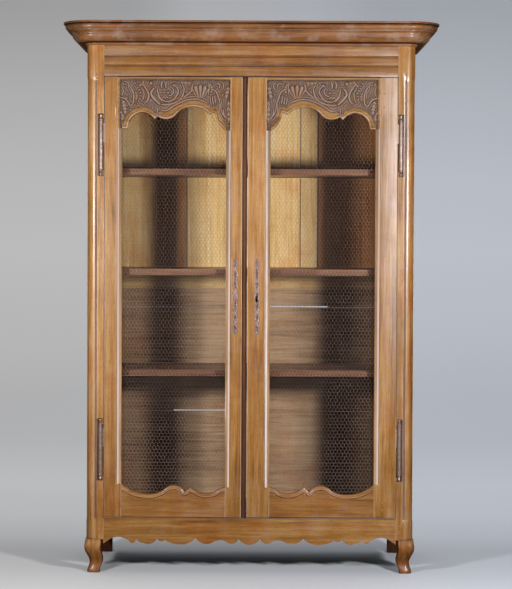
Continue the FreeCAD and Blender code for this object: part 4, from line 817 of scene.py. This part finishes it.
WORN_NODES = (
    "left_hinge_stile", "left_meeting_stile", "right_hinge_stile", "right_meeting_stile", "front_post_left",
    "front_post_right", "frieze_rail", "apron_rail", "upper_shelf", "middle_shelf", "lower_shelf",
    "cornice_front", "cornice_return_left", "cornice_return_right",
)
for node_name in WORN_NODES:
    copy = worn_copy(node_name)
    finishes = [finish_for(node_name)]
    if node_name.endswith("_stile"):
        mark_bead_highlights(copy, BEAD_HIGHLIGHT[node_name])
    # The rebate's floor gets the finish with painted shade.
    if node_name == "left_meeting_stile":
        edge_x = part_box(node_name)[1].x
        for face in copy.faces:
            middle = face.calc_center_median()
            if middle.x > edge_x - REBATE_WIDTH and middle.y > REBATE_FRONT_Y and face.normal.y < -0.5:
                face.material_index = 1
        finishes.append(rebate_shade_wood)
    new_piece("worn_" + node_name, copy, finishes, [node_name], crease=SOFT_CREASE)

# %% [markdown]
# ## Outline of the door rails
# The lower edge of each top rail is a run of arcs: a small arch beside the hinges, a drop with a cusp, a
# large arch and a quarter curve down to the meeting stile. The bottom rail answers it with two bowls.
# Each arc goes through three points. It could be traced by hand, but three points per arc keep the curve
# fair and let both leaves share it: the right leaf is the left one seen in a mirror.

# %% Rail outlines
MM = 0.001
DOOR_FACE_Y = FRONT_FACE_Y + 0.001
DOOR_REAR_Y = DOOR_FACE_Y + 0.030
DOOR_TOP_Z = 1.986
DOOR_BOTTOM_Z = 0.224
TOP_BASE = 1778.0
BOTTOM_BASE = 224.0
SHOULDER = 18.0
TOP_WAVE = (
    ((0.0, 1.5),), ((0.058, 1.5),), ((0.108, 52.0), (0.203, 67.0)), ((0.262, 58.0), (0.313, 38.0)),
    ((0.342, 50.0),), ((0.425, 39.5), (0.509, 54.0)), ((0.674, 90.0), (0.839, 60.0)), ((0.887, 69.0),),
    ((0.924, 26.0), (1.0, -5.0)),
)
BOTTOM_WAVE = (
    ((0.0, 134.0),), ((0.084, 108.0), (0.240, 91.0)), ((0.330, 94.0), (0.400, 106.0)),
    ((0.510, 126.0), (0.590, 115.0)), ((0.616, 102.0),), ((0.667, 123.0),), ((0.790, 95.0), (0.905, 101.5)),
    ((0.941, 112.5),), ((1.0, 121.0),),
)


def arc_through(start, middle, end, count=14):
    """Points of the circle arc through three points, without the first."""
    (ax, ay), (bx, by), (cx, cy) = start, middle, end
    d = 2.0 * (ax * (by - cy) + bx * (cy - ay) + cx * (ay - by))
    ux = ((ax**2 + ay**2) * (by - cy) + (bx**2 + by**2) * (cy - ay) + (cx**2 + cy**2) * (ay - by)) / d
    uy = ((ax**2 + ay**2) * (cx - bx) + (bx**2 + by**2) * (ax - cx) + (cx**2 + cy**2) * (bx - ax)) / d
    radius = math.hypot(ax - ux, ay - uy)
    first = math.atan2(ay - uy, ax - ux)
    turn = (math.atan2(cy - uy, cx - ux) - first) % (2.0 * math.pi)
    middle_turn = (math.atan2(by - uy, bx - ux) - first) % (2.0 * math.pi)
    if middle_turn > turn:
        turn -= 2.0 * math.pi
    angles = [first + turn * (step + 1) / count for step in range(count)]
    return [(ux + radius * math.cos(angle), uy + radius * math.sin(angle)) for angle in angles]


def wave_line(wave, width, base):
    """The wave as an array of points: distance from the hinge edge and height, both in millimetres."""
    line = []
    for step in wave:
        points = [(share * width, base + rise) for share, rise in step]
        line += arc_through(line[-1], *points) if len(points) == 2 else points
    return np.array(line)


def height_on_line(u, line):
    """Height of the line above each distance from the hinge edge."""
    return np.interp(u, np.maximum.accumulate(line[:, 0]) + np.arange(len(line)) * 1e-6, line[:, 1])


def distance_to_line(u, z, line):
    """Shortest distance from every point to a polyline, and the share of the line's length there."""
    best = np.full(u.shape, 1e9)
    share = np.zeros(u.shape)
    lengths = np.hypot(*np.diff(line, axis=0).T)
    total = lengths.sum()
    before = 0.0
    for (au, az), (bu, bz), length in zip(line, line[1:], lengths):
        along = ((u - au) * (bu - au) + (z - az) * (bz - az)) / max(length**2, 1e-9)
        along = np.clip(along, 0.0, 1.0)
        away = np.hypot(u - au - along * (bu - au), z - az - along * (bz - az))
        nearer = away < best
        best = np.where(nearer, away, best)
        share = np.where(nearer, (before + along * length) / total, share)
        before += length
    return best, share


# %% [markdown]
# ## Carving of the top rails
# The top rails are carved in low relief with curling C-shaped ribs, strings of pearls, a cartouche of
# nested ribs over the drop, a fluted shell over the large arch and a leaf that runs down to the meeting
# stile. A carver sinks the ground and leaves the ribs standing, so the relief here is one height for
# each point of a fine grid: the highest of all the strokes that pass over it, with narrow flutes of the
# gouge following each rib across the ground. Sculpting by hand would also do, but strokes with a path, a
# width and a height are easy to move and to mirror.

# %% Strokes of the carving
RIBS = (
    (3.2, 4.6, ((30, 36), (39, 51), (45, 67), (46, 85), (44, 103), (37, 115))),
    (2.2, 3.4, ((24, 44), (33, 56), (37, 70), (37, 84))),
    (2.6, 4.0, ((-8, 82), (12, 88), (23, 100), (30, 112), (39, 116))),
    (2.2, 3.2, ((8, 18), (20, 21), (26, 33), (24, 46))),
    (2.4, 3.2, ((-2, 36), (3, 48), (4, 62), (-1, 74))),
    (3.4, 4.8, ((84, 32), (94, 46), (102, 58), (106, 71), (105, 83), (100, 96), (90, 105))),
    (2.2, 3.2, ((76, 44), (85, 58), (87, 72), (84, 88), (76, 100))),
    (4.2, 5.4, ((126, 46), (118, 57), (116, 69), (124, 82), (137, 97), (149, 108))),
    (2.8, 4.2, ((139, 46), (142, 60), (147, 76), (158, 90), (172, 98))),
    (2.0, 3.0, ((128, 74), (140, 88), (152, 100))),
    (2.0, 3.0, ((134, 70), (146, 84), (160, 97))),
    (3.4, 4.6, ((160, 18), (156, 30), (158, 44))),
    (3.2, 4.4, ((176, 20), (173, 32), (175, 44))),
    (2.0, 3.2, ((160, 86), (165, 79), (171, 86))),
    (2.0, 3.2, ((172, 86), (178, 79), (184, 86))),
    (3.0, 4.4, ((172, 98), (192, 96), (208, 86), (218, 72), (224, 60), (221, 46), (210, 36))),
    (2.6, 4.0, ((186, 76), (196, 72), (204, 62), (204, 50), (197, 42))),
    (3.0, 4.2, ((158, 110), (186, 110), (214, 102), (234, 86), (244, 66), (247, 46), (240, 30))),
    (3.2, 4.0, ((246, 82), (260, 70), (277, 55))),
    (3.0, 5.0, ((283, 27), (279, 40), (277, 56))),
    (2.6, 3.8, ((345, 22), (347, 44), (344, 70))),
    (2.6, 4.2, ((352, 80), (352, 94), (356, 110))),
    (2.6, 4.2, ((360, 76), (361, 92), (365, 108))),
    (2.6, 4.2, ((368, 74), (370, 88), (374, 104))),
    (2.4, 3.8, ((372, 30), (381, 25), (389, 32), (388, 44))),
    (2.4, 3.8, ((397, 20), (404, 28), (404, 42), (397, 52))),
    (3.0, 4.6, ((360, 48), (372, 56), (380, 68), (385, 84), (390, 100))),
    (2.2, 3.4, ((398, 90), (394, 108), (395, 128), (401, 146), (410, 160))),
    (2.0, 3.0, ((390, 104), (388, 120), (390, 138), (396, 155), (405, 171))),
    (2.6, 4.4, ((404, 126), (405, 144), (411, 158), (420, 164))),
    (2.6, 4.0, ((139, 122), (141, 132), (141, 142))),
)
PEARLS = (
    (52, 25, 4.4), (58, 34, 3.2), (62, 43, 4.0), (68, 52, 4.4), (72, 63, 4.6), (72, 75, 4.2), (70, 87, 4.6),
    (66, 97, 3.6), (61, 106, 4.0), (54, 112, 3.0), (4, 27, 4.4), (14, 30, 3.0), (183, 62, 5.0),
    (208, 33, 6.0), (115, 25, 7.0), (104, 22, 4.5), (378, 62, 4.2), (383, 76, 4.2), (389, 90, 4.2),
    (428, 132, 5.0), (426, 149, 5.0), (427, 166, 5.0), (131, 150, 5.0), (150, 145, 5.0), (141, 148, 4.0),
    (268, 30, 4.2), (262, 44, 3.6), (256, 57, 3.4), (16, 84, 3.6), (8, 98, 3.4),
)
LEAVES = (
    (9.0, 4.6, 4, ((4, 98), (9, 118), (12, 138), (8, 150))),
    (9.5, 5.0, 3, ((423, 42), (419, 62), (414, 86))),
    (8.0, 4.4, 4, ((425, 100), (424, 128), (426, 160), (424, 186))),
    (7.0, 4.0, 3, ((54, 62), (57, 78), (55, 96))),
    (7.5, 4.0, 3, ((236, 22), (262, 24), (278, 20))),
    (8.0, 4.2, 4, ((352, 30), (358, 46), (354, 66))),
    (7.0, 4.0, 3, ((86, 20), (78, 30), (66, 36))),
    (6.5, 4.4, 3, ((-6, 140), (2, 156), (0, 176))),
)
VOLUTES = (
    (3, 163, 10.0, 1.0), (12, 187, 7.0, -1.0), (424, 198, 8.5, -1.0), (413, 166, 6.0, 1.0),
    (34, 118, 6.0, 1.0),
)
SHELL_CENTRE = (312.0, 104.0)
SHELL_FLUTES = 7
SHELL_RIM, SHELL_SCALLOP, SHELL_HEART, SHELL_SPREAD = 62.0, 12.0, 18.0, 0.62
RIB_WIDENING = 1.5
FLUTE_PITCH = 9.5
FLUTE_HEIGHT = 1.4
print("strokes:", len(RIBS) + len(PEARLS) + len(LEAVES) + len(VOLUTES))


# %% Relief of the carving


def smooth_path(points, per_span=6):
    """A stroke's points joined by a flowing curve."""
    corners = np.array(points, dtype=float)
    padded = np.vstack([2 * corners[0] - corners[1], corners, 2 * corners[-1] - corners[-2]])
    line = [corners[0]]
    for a, b, c, d in zip(padded, padded[1:], padded[2:], padded[3:]):
        for step in range(1, per_span + 1):
            t = step / per_span
            bend = (2 * a - 5 * b + 4 * c - d) * t**2 + (3 * b - a - 3 * c + d) * t**3
            line.append(0.5 * (2 * b + (c - a) * t + bend))
    return np.array(line)


def ramp(values, start, length):
    """0 up to a start, then rising to 1 over a length."""
    return np.clip((values - start) / length, 0.0, 1.0)


def rounded(share):
    """Height of a half-round section: 1 in the middle, 0 at the edge."""
    return np.sqrt(np.clip(1.0 - share**2, 0.0, 1.0))


def carved_height(u, drop):
    """Height of the carving above its ground, in millimetres, at distances from hinge edge and top."""
    height = np.zeros(u.shape)
    nearest = np.full(u.shape, 1e9)
    for half_width, top, points in RIBS:
        away, along = distance_to_line(u, drop, smooth_path(points))
        swell = np.sin(np.pi * np.clip(0.08 + 0.84 * along, 0.0, 1.0)) ** 0.6
        width = RIB_WIDENING * half_width * (0.45 + 0.55 * swell)
        height = np.maximum(height, top * rounded(away / width))
        nearest = np.minimum(nearest, away - width)
    fluting = 0.5 - 0.5 * np.cos(2.0 * np.pi * np.maximum(nearest, 0.0) / FLUTE_PITCH)
    height = np.maximum(height, FLUTE_HEIGHT * fluting * np.clip(1.2 - nearest / 30.0, 0.4, 1.0))
    for centre_u, centre_drop, radius in PEARLS:
        away = np.hypot(u - centre_u, drop - centre_drop)
        height = np.maximum(height, (1.4 + 0.75 * radius) * rounded(away / radius))
    for half_width, top, lobes, points in LEAVES:
        away, along = distance_to_line(u, drop, smooth_path(points))
        notch = 0.5 + 0.5 * np.cos(2.0 * np.pi * (lobes * along - 0.5 * away / half_width))
        swell = np.sin(np.pi * np.clip(0.1 + 0.9 * along, 0.0, 1.0)) ** 0.5
        width = np.maximum(half_width * swell * (0.74 + 0.26 * notch), 0.1)
        height = np.maximum(height, top * rounded(away / width) * (0.62 + 0.38 * notch))
    for centre_u, centre_drop, radius, way in VOLUTES:
        away = np.hypot(u - centre_u, drop - centre_drop)
        angle = np.arctan2(drop - centre_drop, (u - centre_u) * way)
        coil = np.cos(2.0 * np.pi * away / (radius * 0.62) - angle)
        edge = ramp(radius - away, 0.0, 1.5)
        height = np.maximum(height, edge * (2.6 + 1.9 * coil))
    away = np.hypot((u - SHELL_CENTRE[0]) * 1.1, drop - SHELL_CENTRE[1])
    angle = np.arctan2(u - SHELL_CENTRE[0], SHELL_CENTRE[1] - drop)
    flute = np.abs(np.cos(angle * SHELL_FLUTES * 1.55))
    shell = ramp(SHELL_RIM + SHELL_SCALLOP * flute - away, 0.0, 2.0) * ramp(away, SHELL_HEART, 4.0)
    shell *= ramp(SHELL_SPREAD - np.abs(angle), 0.0, 0.05)
    return np.maximum(height, shell * (1.2 + 3.6 * flute**0.7))


def blurred(values, columns, radius):
    """Values of a grid, averaged over their neighbours both ways."""
    table = values.reshape(-1, columns)
    kernel = np.ones(2 * radius + 1) / (2 * radius + 1)
    for axis in (0, 1, 0, 1):
        pad = [(radius, radius) if axis == number else (0, 0) for number in (0, 1)]
        wide = np.pad(table, pad, mode="edge")
        table = np.apply_along_axis(np.convolve, axis, wide, kernel, mode="valid")
    return table.ravel()


# %% [markdown]
# ## Rails from sheets
# Each rail starts as a flat grid whose rows follow the waved edge. Every vertex is moved back to the depth
# that moulding and carving ask for, and the sheet's border is drawn back to the rear of the door. A joiner
# would work the moulding with planes and gouges; on a grid both come from one height for each point.

# %% Sheets for rails


def grid_sheet(columns, rows):
    """A square sheet and its vertices' places from 0 to 1 both ways, row by row."""
    mesh = bmesh.new()
    bmesh.ops.create_grid(mesh, x_segments=columns, y_segments=rows, size=0.5)
    mesh.verts.ensure_lookup_table()
    places = np.array([(vert.co.x + 0.5, vert.co.y + 0.5) for vert in mesh.verts])
    return mesh, places[:, 0], places[:, 1]


def close_behind(mesh):
    """Give a sheet its thickness: its border runs back to the door's rear face, which is then closed."""
    border = [edge for edge in mesh.edges if edge.is_boundary]
    grown = bmesh.ops.extrude_edge_only(mesh, edges=border)["geom"]
    for vert in picked(grown, BMVert):
        vert.co.y = DOOR_REAR_Y
    rim = [edge for edge in picked(grown, BMEdge) if edge.is_boundary]
    bmesh.ops.contextual_create(mesh, geom=rim)


def leaf_edges(side):
    """Hinge edge of a leaf's opening, its width in millimetres and the way from hinge to meeting."""
    hinge_low, hinge_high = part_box(side + "_hinge_stile")
    meeting_low, meeting_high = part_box(side + "_meeting_stile")
    if side == "left":
        return hinge_high.x, (meeting_low.x - hinge_high.x) / MM, 1.0
    return hinge_low.x, (hinge_low.x - meeting_high.x) / MM, -1.0


def place_sheet(mesh, side, u, z, depth, marks):
    """Move a sheet's vertices to their places on a leaf and store its marks; depth is behind the face."""
    hinge_x, width, way = leaf_edges(side)
    for vert, across, level, deep in zip(mesh.verts, u, z, depth):
        vert.co = (hinge_x + way * across * MM, DOOR_FACE_Y + deep * MM, level * MM)
    for name, values in marks.items():
        layer = mesh.verts.layers.float.new(name)
        for vert, value in zip(mesh.verts, values):
            vert[layer] = value


# %% Carved and moulded rails
GROUND = 6.2
BAND = 21.0
BEAD_MIDDLE, BEAD_END, BEAD_FOOT, BEAD_RISE = 4.6, 9.2, 5.6, 4.8
FILLET_END, FILLET_DEPTH = 10.6, 5.2
COVE_START, COVE_TOP = 11.0, 3.0
STRIP_END, STRIP_FADE, STRIP_DEPTH = 8.0, 4.0, 0.8
BORDER_DEPTH = 0.6
TOOL_MARKS = 0.16
LIP_END = 8.0
LOW_BEAD_MIDDLE, LOW_BEAD_HALF, LOW_BEAD_END = 11.5, 4.0, 15.6
DRAWN_WIDTH = 415.7
BUD_PLACE, BUD_RADIUS = (140.0, 146.0), 14.0
RIDGE_START, RIDGE_END, RIDGE_FADE = 150.0, 350.0, 25.0
RIDGES = ((5.0, 4.4, 3.4), (14.5, 4.4, 2.8), (23.5, 4.0, 2.2))
CARVING_GRID = (420, 150)
MOULDING_GRID = (260, 56)


def swelling(values, middle, reach):
    """1 at a middle value, falling smoothly to 0 away from it."""
    return np.exp(-(((values - middle) / reach) ** 2))


def carved_rail(side):
    """Top rail: waved edge with bead, fillet and cove, three ridges along it and the carving above."""
    width = leaf_edges(side)[1]
    mesh, across, up = grid_sheet(*CARVING_GRID)
    u = -SHOULDER + across * (width + 2.0 * SHOULDER)
    line = wave_line(TOP_WAVE, width, TOP_BASE)
    low = height_on_line(u, line)
    top = DOOR_TOP_Z / MM
    z = low + up * (top - low)
    away = distance_to_line(u, z, line)[0]
    drop = top - z
    share_u = u * DRAWN_WIDTH / width
    band = BAND + 9.0 * swelling(share_u, 182.0, 30.0) + 5.0 * swelling(share_u, 300.0, 60.0)
    height = carved_height(share_u, drop)
    ridge_share = ramp(share_u, RIDGE_START, RIDGE_FADE) * ramp(RIDGE_END - share_u, 0.0, RIDGE_FADE)
    for offset, half_width, crest in RIDGES:
        height = np.maximum(height, crest * ridge_share * rounded((away - band - offset) / half_width))
    bud = np.hypot(share_u - BUD_PLACE[0], drop - BUD_PLACE[1]) < BUD_RADIUS
    height = np.where(bud, height, height * ramp(away - band, -3.0, 4.0))
    depth = GROUND - height
    cove = COVE_TOP + (GROUND - COVE_TOP) * ramp(away, COVE_START, band - COVE_START) ** 1.6
    bead = BEAD_FOOT - BEAD_RISE * rounded((away - BEAD_MIDDLE) / BEAD_MIDDLE)
    inside = (u > 0.0) & (u < width)
    depth = np.where(inside & (away < band), np.minimum(depth, cove), depth)
    for end, moulding in ((FILLET_END, FILLET_DEPTH), (BEAD_END, bead)):
        cut = np.where(bud, np.minimum(depth, moulding), moulding)
        depth = np.where(inside & (away < end), cut, depth)
    strip = ramp(drop, STRIP_END, STRIP_FADE)
    depth = STRIP_DEPTH + (depth - STRIP_DEPTH) * strip + swelling(drop, 6.5, 1.2)
    border = ramp(u, -10.0, 2.0) * ramp(width + SHOULDER - 3.0 - u, 0.0, 2.0)
    depth = BORDER_DEPTH + (depth - BORDER_DEPTH) * border
    depth += TOOL_MARKS * np.sin(u * 0.9 + 1.3 * np.sin(z * 0.31)) * np.sin(z * 0.83) * border
    # The cavity mark tells the finish where to paint shade into the hollows.
    cavity = (blurred(depth, CARVING_GRID[0] + 1, 4) - depth) / 4.0
    cavity = 0.5 + np.where(border < 1.0, 0.3 * cavity, cavity)
    polish = np.where(inside & (away < band - 2.0) & ~bud, 1.0, 0.0)
    polish = np.maximum(polish, np.maximum(1.0 - strip, 1.0 - border))
    # The edge bead's crest is marked for a painted highlight.
    wear_and_highlight = np.where(inside & ~bud, rounded((away - BEAD_MIDDLE) / BEAD_MIDDLE), 0.0)
    place_sheet(mesh, side, u, z, depth, {
        "relief": np.clip(1.0 - depth / GROUND, 0.0, 1.0), "cavity": np.clip(cavity, 0.0, 1.0),
        "polish": polish, "wear_and_highlight": wear_and_highlight,
    })
    close_behind(mesh)
    new_piece(side + "_carved_rail", mesh, [carved_wood], [side + "_top_rail"])


def moulded_rail(side):
    """Bottom rail: two bowls with a lip, a hollow and a bead along them."""
    width = leaf_edges(side)[1]
    mesh, across, up = grid_sheet(*MOULDING_GRID)
    u = across * width
    line = wave_line(BOTTOM_WAVE, width, BOTTOM_BASE)
    high = height_on_line(u, line)
    z = high - (1.0 - up) ** 1.5 * (high - DOOR_BOTTOM_Z / MM)
    away = distance_to_line(u, z, line)[0]
    lip = 6.0 - 3.0 * ramp(away, 0.0, LIP_END) ** 2
    bead = 3.6 - 3.4 * rounded((away - LOW_BEAD_MIDDLE) / LOW_BEAD_HALF)
    depth = np.where(away < LIP_END, lip, np.minimum(bead, 3.2))
    depth = np.where(away > LOW_BEAD_END, 2.6 * ramp(17.4 - away, 0.0, 1.4), depth)
    wear_and_highlight = np.where((away > LIP_END) & (away < LOW_BEAD_END), np.clip(1.6 - depth, 0.0, 1.0), 0.0)
    place_sheet(mesh, side, u, z, depth, {"wear_and_highlight": wear_and_highlight})
    close_behind(mesh)
    new_piece(side + "_moulded_rail", mesh, [rail_honey], [side + "_bottom_rail"])


for side in SIDES:
    carved_rail(side)
    moulded_rail(side)

# %% [markdown]
# ## Wire netting
# The netting is twisted from thin wires into upright hexagons: each cell shares one twisted upright and
# two slanting wires with its neighbours. One such fork is drawn with a few faces and copied by the
# thousand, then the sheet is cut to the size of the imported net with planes. Curves with a round bevel
# would give finer wire but far too many faces for so many cells.

# %% Netting
CELL = 0.0144
UPRIGHT = 0.0086
SLANT_RISE = 0.00433
WIRE = 0.00045
TWIST = 0.0008


def wire_span(mesh, start, end, sides, width, thickness, turns=1):
    """A thin closed bar between two points, its section turning a quarter at each step."""
    path = Vector(end) - Vector(start)
    aim = path.to_track_quat("Z", "Y").to_matrix().to_4x4()
    ring = bmesh.ops.create_circle(mesh, cap_ends=True, segments=sides, radius=1.0)["verts"]
    flat = Matrix.Diagonal((width, thickness, 1.0, 1.0))
    bmesh.ops.transform(mesh, verts=ring, matrix=Matrix.Translation(start) @ aim @ flat)
    face = ring[0].link_faces[0]
    for step in range(turns):
        made = bmesh.ops.extrude_face_region(mesh, geom=[face])["geom"]
        moved = picked(made, BMVert)
        face = picked(made, BMFace)[0]
        bmesh.ops.translate(mesh, verts=moved, vec=path / turns)
        if turns > 1:
            centre = Vector(start) + path * (step + 1) / turns
            quarter = Matrix.Rotation(math.radians(90.0), 3, path)
            bmesh.ops.rotate(mesh, verts=moved, cent=centre, matrix=quarter)


def copied(mesh, geom, shift):
    """Copy part of a mesh to a new place."""
    made = bmesh.ops.duplicate(mesh, geom=geom)["geom"]
    bmesh.ops.translate(mesh, verts=picked(made, BMVert), vec=shift)


def everything(mesh):
    """All of a mesh, as operators ask for it."""
    return list(mesh.verts) + list(mesh.edges) + list(mesh.faces)


def wire_net(side):
    """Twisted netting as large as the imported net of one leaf."""
    low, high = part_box(side + "_net")
    mesh = bmesh.new()
    half = CELL / 2
    row_rise = UPRIGHT + SLANT_RISE
    wire_span(mesh, (0.0, 0.0, 0.0), (0.0, 0.0, UPRIGHT), 4, TWIST, WIRE, 2)
    for way in (-1.0, 1.0):
        wire_span(mesh, (0.0, 0.0, UPRIGHT), (way * half, 0.0, row_rise), 3, WIRE, WIRE)
    bmesh.ops.translate(mesh, verts=mesh.verts, vec=(low.x, (low.y + high.y) / 2, low.z))
    fork = everything(mesh)
    for column in range(1, int((high.x - low.x) / CELL) + 2):
        copied(mesh, fork, (column * CELL, 0.0, 0.0))
    row = everything(mesh)
    for number in range(1, int((high.z - low.z) / row_rise) + 2):
        copied(mesh, row, ((number % 2) * -half, 0.0, number * row_rise))
    for point, way in ((low, (-1, 0, 0)), (high, (1, 0, 0)), (high, (0, 0, 1))):
        bmesh.ops.bisect_plane(mesh, geom=everything(mesh), plane_co=point, plane_no=way, clear_outer=True)
    new_piece(side + "_wire_net", mesh, [net_steel], [side + "_net"])


for side in SIDES:
    wire_net(side)

# %% [markdown]
# ## Chased key plates
# Each long iron plate has a raised rim, a punched groove inside it and a small domed pin in each lobe but
# the middle one. The front face of the imported plate is inset three times, once for each step of that
# profile; the outline and the holes stay as they are, so the keyhole is still open.

# %% Key plates
PIN_RADIUS = 0.0021
PLATE_LOBES = 7
PINNED_LOBES = (0, 1, 2, 4, 5, 6)
RIM_WIDTH = 0.0009
GROOVE_WIDTH, GROOVE_DEPTH, FIELD_RISE = 0.0006, 0.0006, 0.0007


def chased_plate(side):
    """Key plate with a rim, a groove and pins."""
    node_name = side + "_escutcheon"
    low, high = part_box(node_name)
    mesh = merged_copy(node_name)
    wear_and_highlight = mesh.faces.layers.float.new("wear_and_highlight")
    front = [face for face in mesh.faces if face.normal.y < -0.95]
    rim = bmesh.ops.inset_region(mesh, faces=front, thickness=RIM_WIDTH, depth=0.0, use_even_offset=True)
    for face in rim["faces"]:
        face[wear_and_highlight] = 1.0
    for depth in (-GROOVE_DEPTH, FIELD_RISE):
        bmesh.ops.inset_region(mesh, faces=front, thickness=GROOVE_WIDTH, depth=depth, use_even_offset=True)
    flat = Matrix.Diagonal((1.0, 0.5, 1.0, 1.0))
    for number in PINNED_LOBES:
        height = low.z + (high.z - low.z) * (number + 0.5) / PLATE_LOBES
        spot = Matrix.Translation(((low.x + high.x) / 2, low.y, height)) @ flat
        bmesh.ops.create_uvsphere(mesh, u_segments=12, v_segments=8, radius=PIN_RADIUS, matrix=spot)
    new_piece(side + "_chased_plate", mesh, [plate_iron], [node_name])


for side in SIDES:
    chased_plate(side)

# %% [markdown]
# ## Staples and screws
# On the backs of the doors the edges of the netting are held by wire staples a hand's breadth apart, and
# the lock, its strike and the guides of the bolt by slotted screws. One staple and one screw head are
# drawn with a few faces each and copied to their places; drawing each by itself would give the same look
# with more work.

# %% Staples and screws
STAPLE_GAP = 0.075
STAPLE_INSET = 0.006
STAPLE_HALF = 0.0045
STAPLE_WIRE = 0.0006
STAPLE_LEG = -0.0016
STAPLE_LEAN = 8.0
SCREW_RADIUS = 0.0034
SCREW_HEIGHT = 0.0012
SCREW_RAISE = 0.0004
SCREW_TURN = 37.0
SCREW_SLOT, SLOT_DEPTH = 0.00045, 0.0007


def staple_shape():
    """A staple: a back and two legs, lying flat."""
    mesh = bmesh.new()
    ends = (-STAPLE_HALF, 0.0, STAPLE_WIRE), (STAPLE_HALF, 0.0, STAPLE_WIRE)
    wire_span(mesh, *ends, 4, STAPLE_WIRE, STAPLE_WIRE)
    for end in ends:
        wire_span(mesh, (end[0], 0.0, STAPLE_LEG), end, 4, STAPLE_WIRE, STAPLE_WIRE)
    return mesh


def screw_shape():
    """A screw's head with its slot, lying flat."""
    mesh = bmesh.new()
    bmesh.ops.create_cone(
        mesh, cap_ends=True, segments=14, radius1=SCREW_RADIUS, radius2=SCREW_RADIUS * 0.8,
        depth=SCREW_HEIGHT)
    for y in (-SCREW_SLOT, SCREW_SLOT):
        bmesh.ops.bisect_plane(mesh, geom=everything(mesh), plane_co=(0.0, y, 0.0), plane_no=(0.0, 1.0, 0.0))
    top = [face for face in mesh.faces if face.normal.z > 0.9]
    slot = [face for face in top if abs(face.calc_center_median().y) < SCREW_SLOT]
    sunk = bmesh.ops.extrude_face_region(mesh, geom=slot)["geom"]
    bmesh.ops.translate(mesh, verts=picked(sunk, BMVert), vec=(0.0, 0.0, -SLOT_DEPTH))
    return mesh


def scattered(shape, spots_and_turns):
    """Copies of a small shape on faces that look backwards, each turned by its angle."""
    pattern = bpy.data.meshes.new("pattern")
    shape.to_mesh(pattern)
    shape.free()
    mesh = bmesh.new()
    for spot, turn in spots_and_turns:
        before = len(mesh.verts)
        mesh.from_mesh(pattern)
        mesh.verts.ensure_lookup_table()
        aim = Matrix.Rotation(-math.pi / 2, 4, "X") @ Matrix.Rotation(math.radians(turn), 4, "Z")
        bmesh.ops.transform(mesh, verts=mesh.verts[before:], matrix=Matrix.Translation(spot) @ aim)
    bpy.data.meshes.remove(pattern)
    return mesh


def staple_places(side):
    """Places and turns of the staples round the edge of a net."""
    low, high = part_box(side + "_net")
    size = high - low
    places = []
    rows = int(size.z / STAPLE_GAP)
    for number in range(rows + 1):
        height = low.z + STAPLE_INSET + (size.z - 2 * STAPLE_INSET) * number / rows
        places += [((x, high.y, height), STAPLE_LEAN * (number % 3 - 1))
                   for x in (low.x + STAPLE_INSET, high.x - STAPLE_INSET)]
    columns = int(size.x / STAPLE_GAP)
    for number in range(1, columns):
        x = low.x + size.x * number / columns
        places += [((x, high.y, height), 90.0) for height in (low.z + STAPLE_INSET, high.z - STAPLE_INSET)]
    return places


def screw_places(node_name, shares):
    """Places on the rear face of a fitting, as shares of its width and height."""
    low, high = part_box(node_name)
    size = high - low
    return [
        ((low.x + size.x * across, high.y + SCREW_RAISE, low.z + size.z * up), SCREW_TURN * number)
        for number, (across, up) in enumerate(shares)
    ]


for side in SIDES:
    new_piece(side + "_net_staples", scattered(staple_shape(), staple_places(side)), [lock_iron],
              body=side + "_door")
CORNERS = ((0.12, 0.08), (0.88, 0.08), (0.12, 0.92), (0.88, 0.92))
STRIKE_ENDS = ((0.3, 0.14), (0.3, 0.86))
GUIDE_MIDDLE = 0.013
lock_screws = screw_places("lock_case", CORNERS)
new_piece("lock_screws", scattered(screw_shape(), lock_screws), [lock_iron], body="right_door")
guide_low, guide_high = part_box("leaf_bolt_guides")
guide_share = GUIDE_MIDDLE / (guide_high.z - guide_low.z)
guide_ends = [(across, up) for across in (0.13, 0.87) for up in (guide_share, 1.0 - guide_share)]
left_screws = screw_places("strike_plate", STRIKE_ENDS) + screw_places("leaf_bolt_guides", guide_ends)
new_piece("strike_and_guide_screws", scattered(screw_shape(), left_screws), [lock_iron],
          body="left_door")
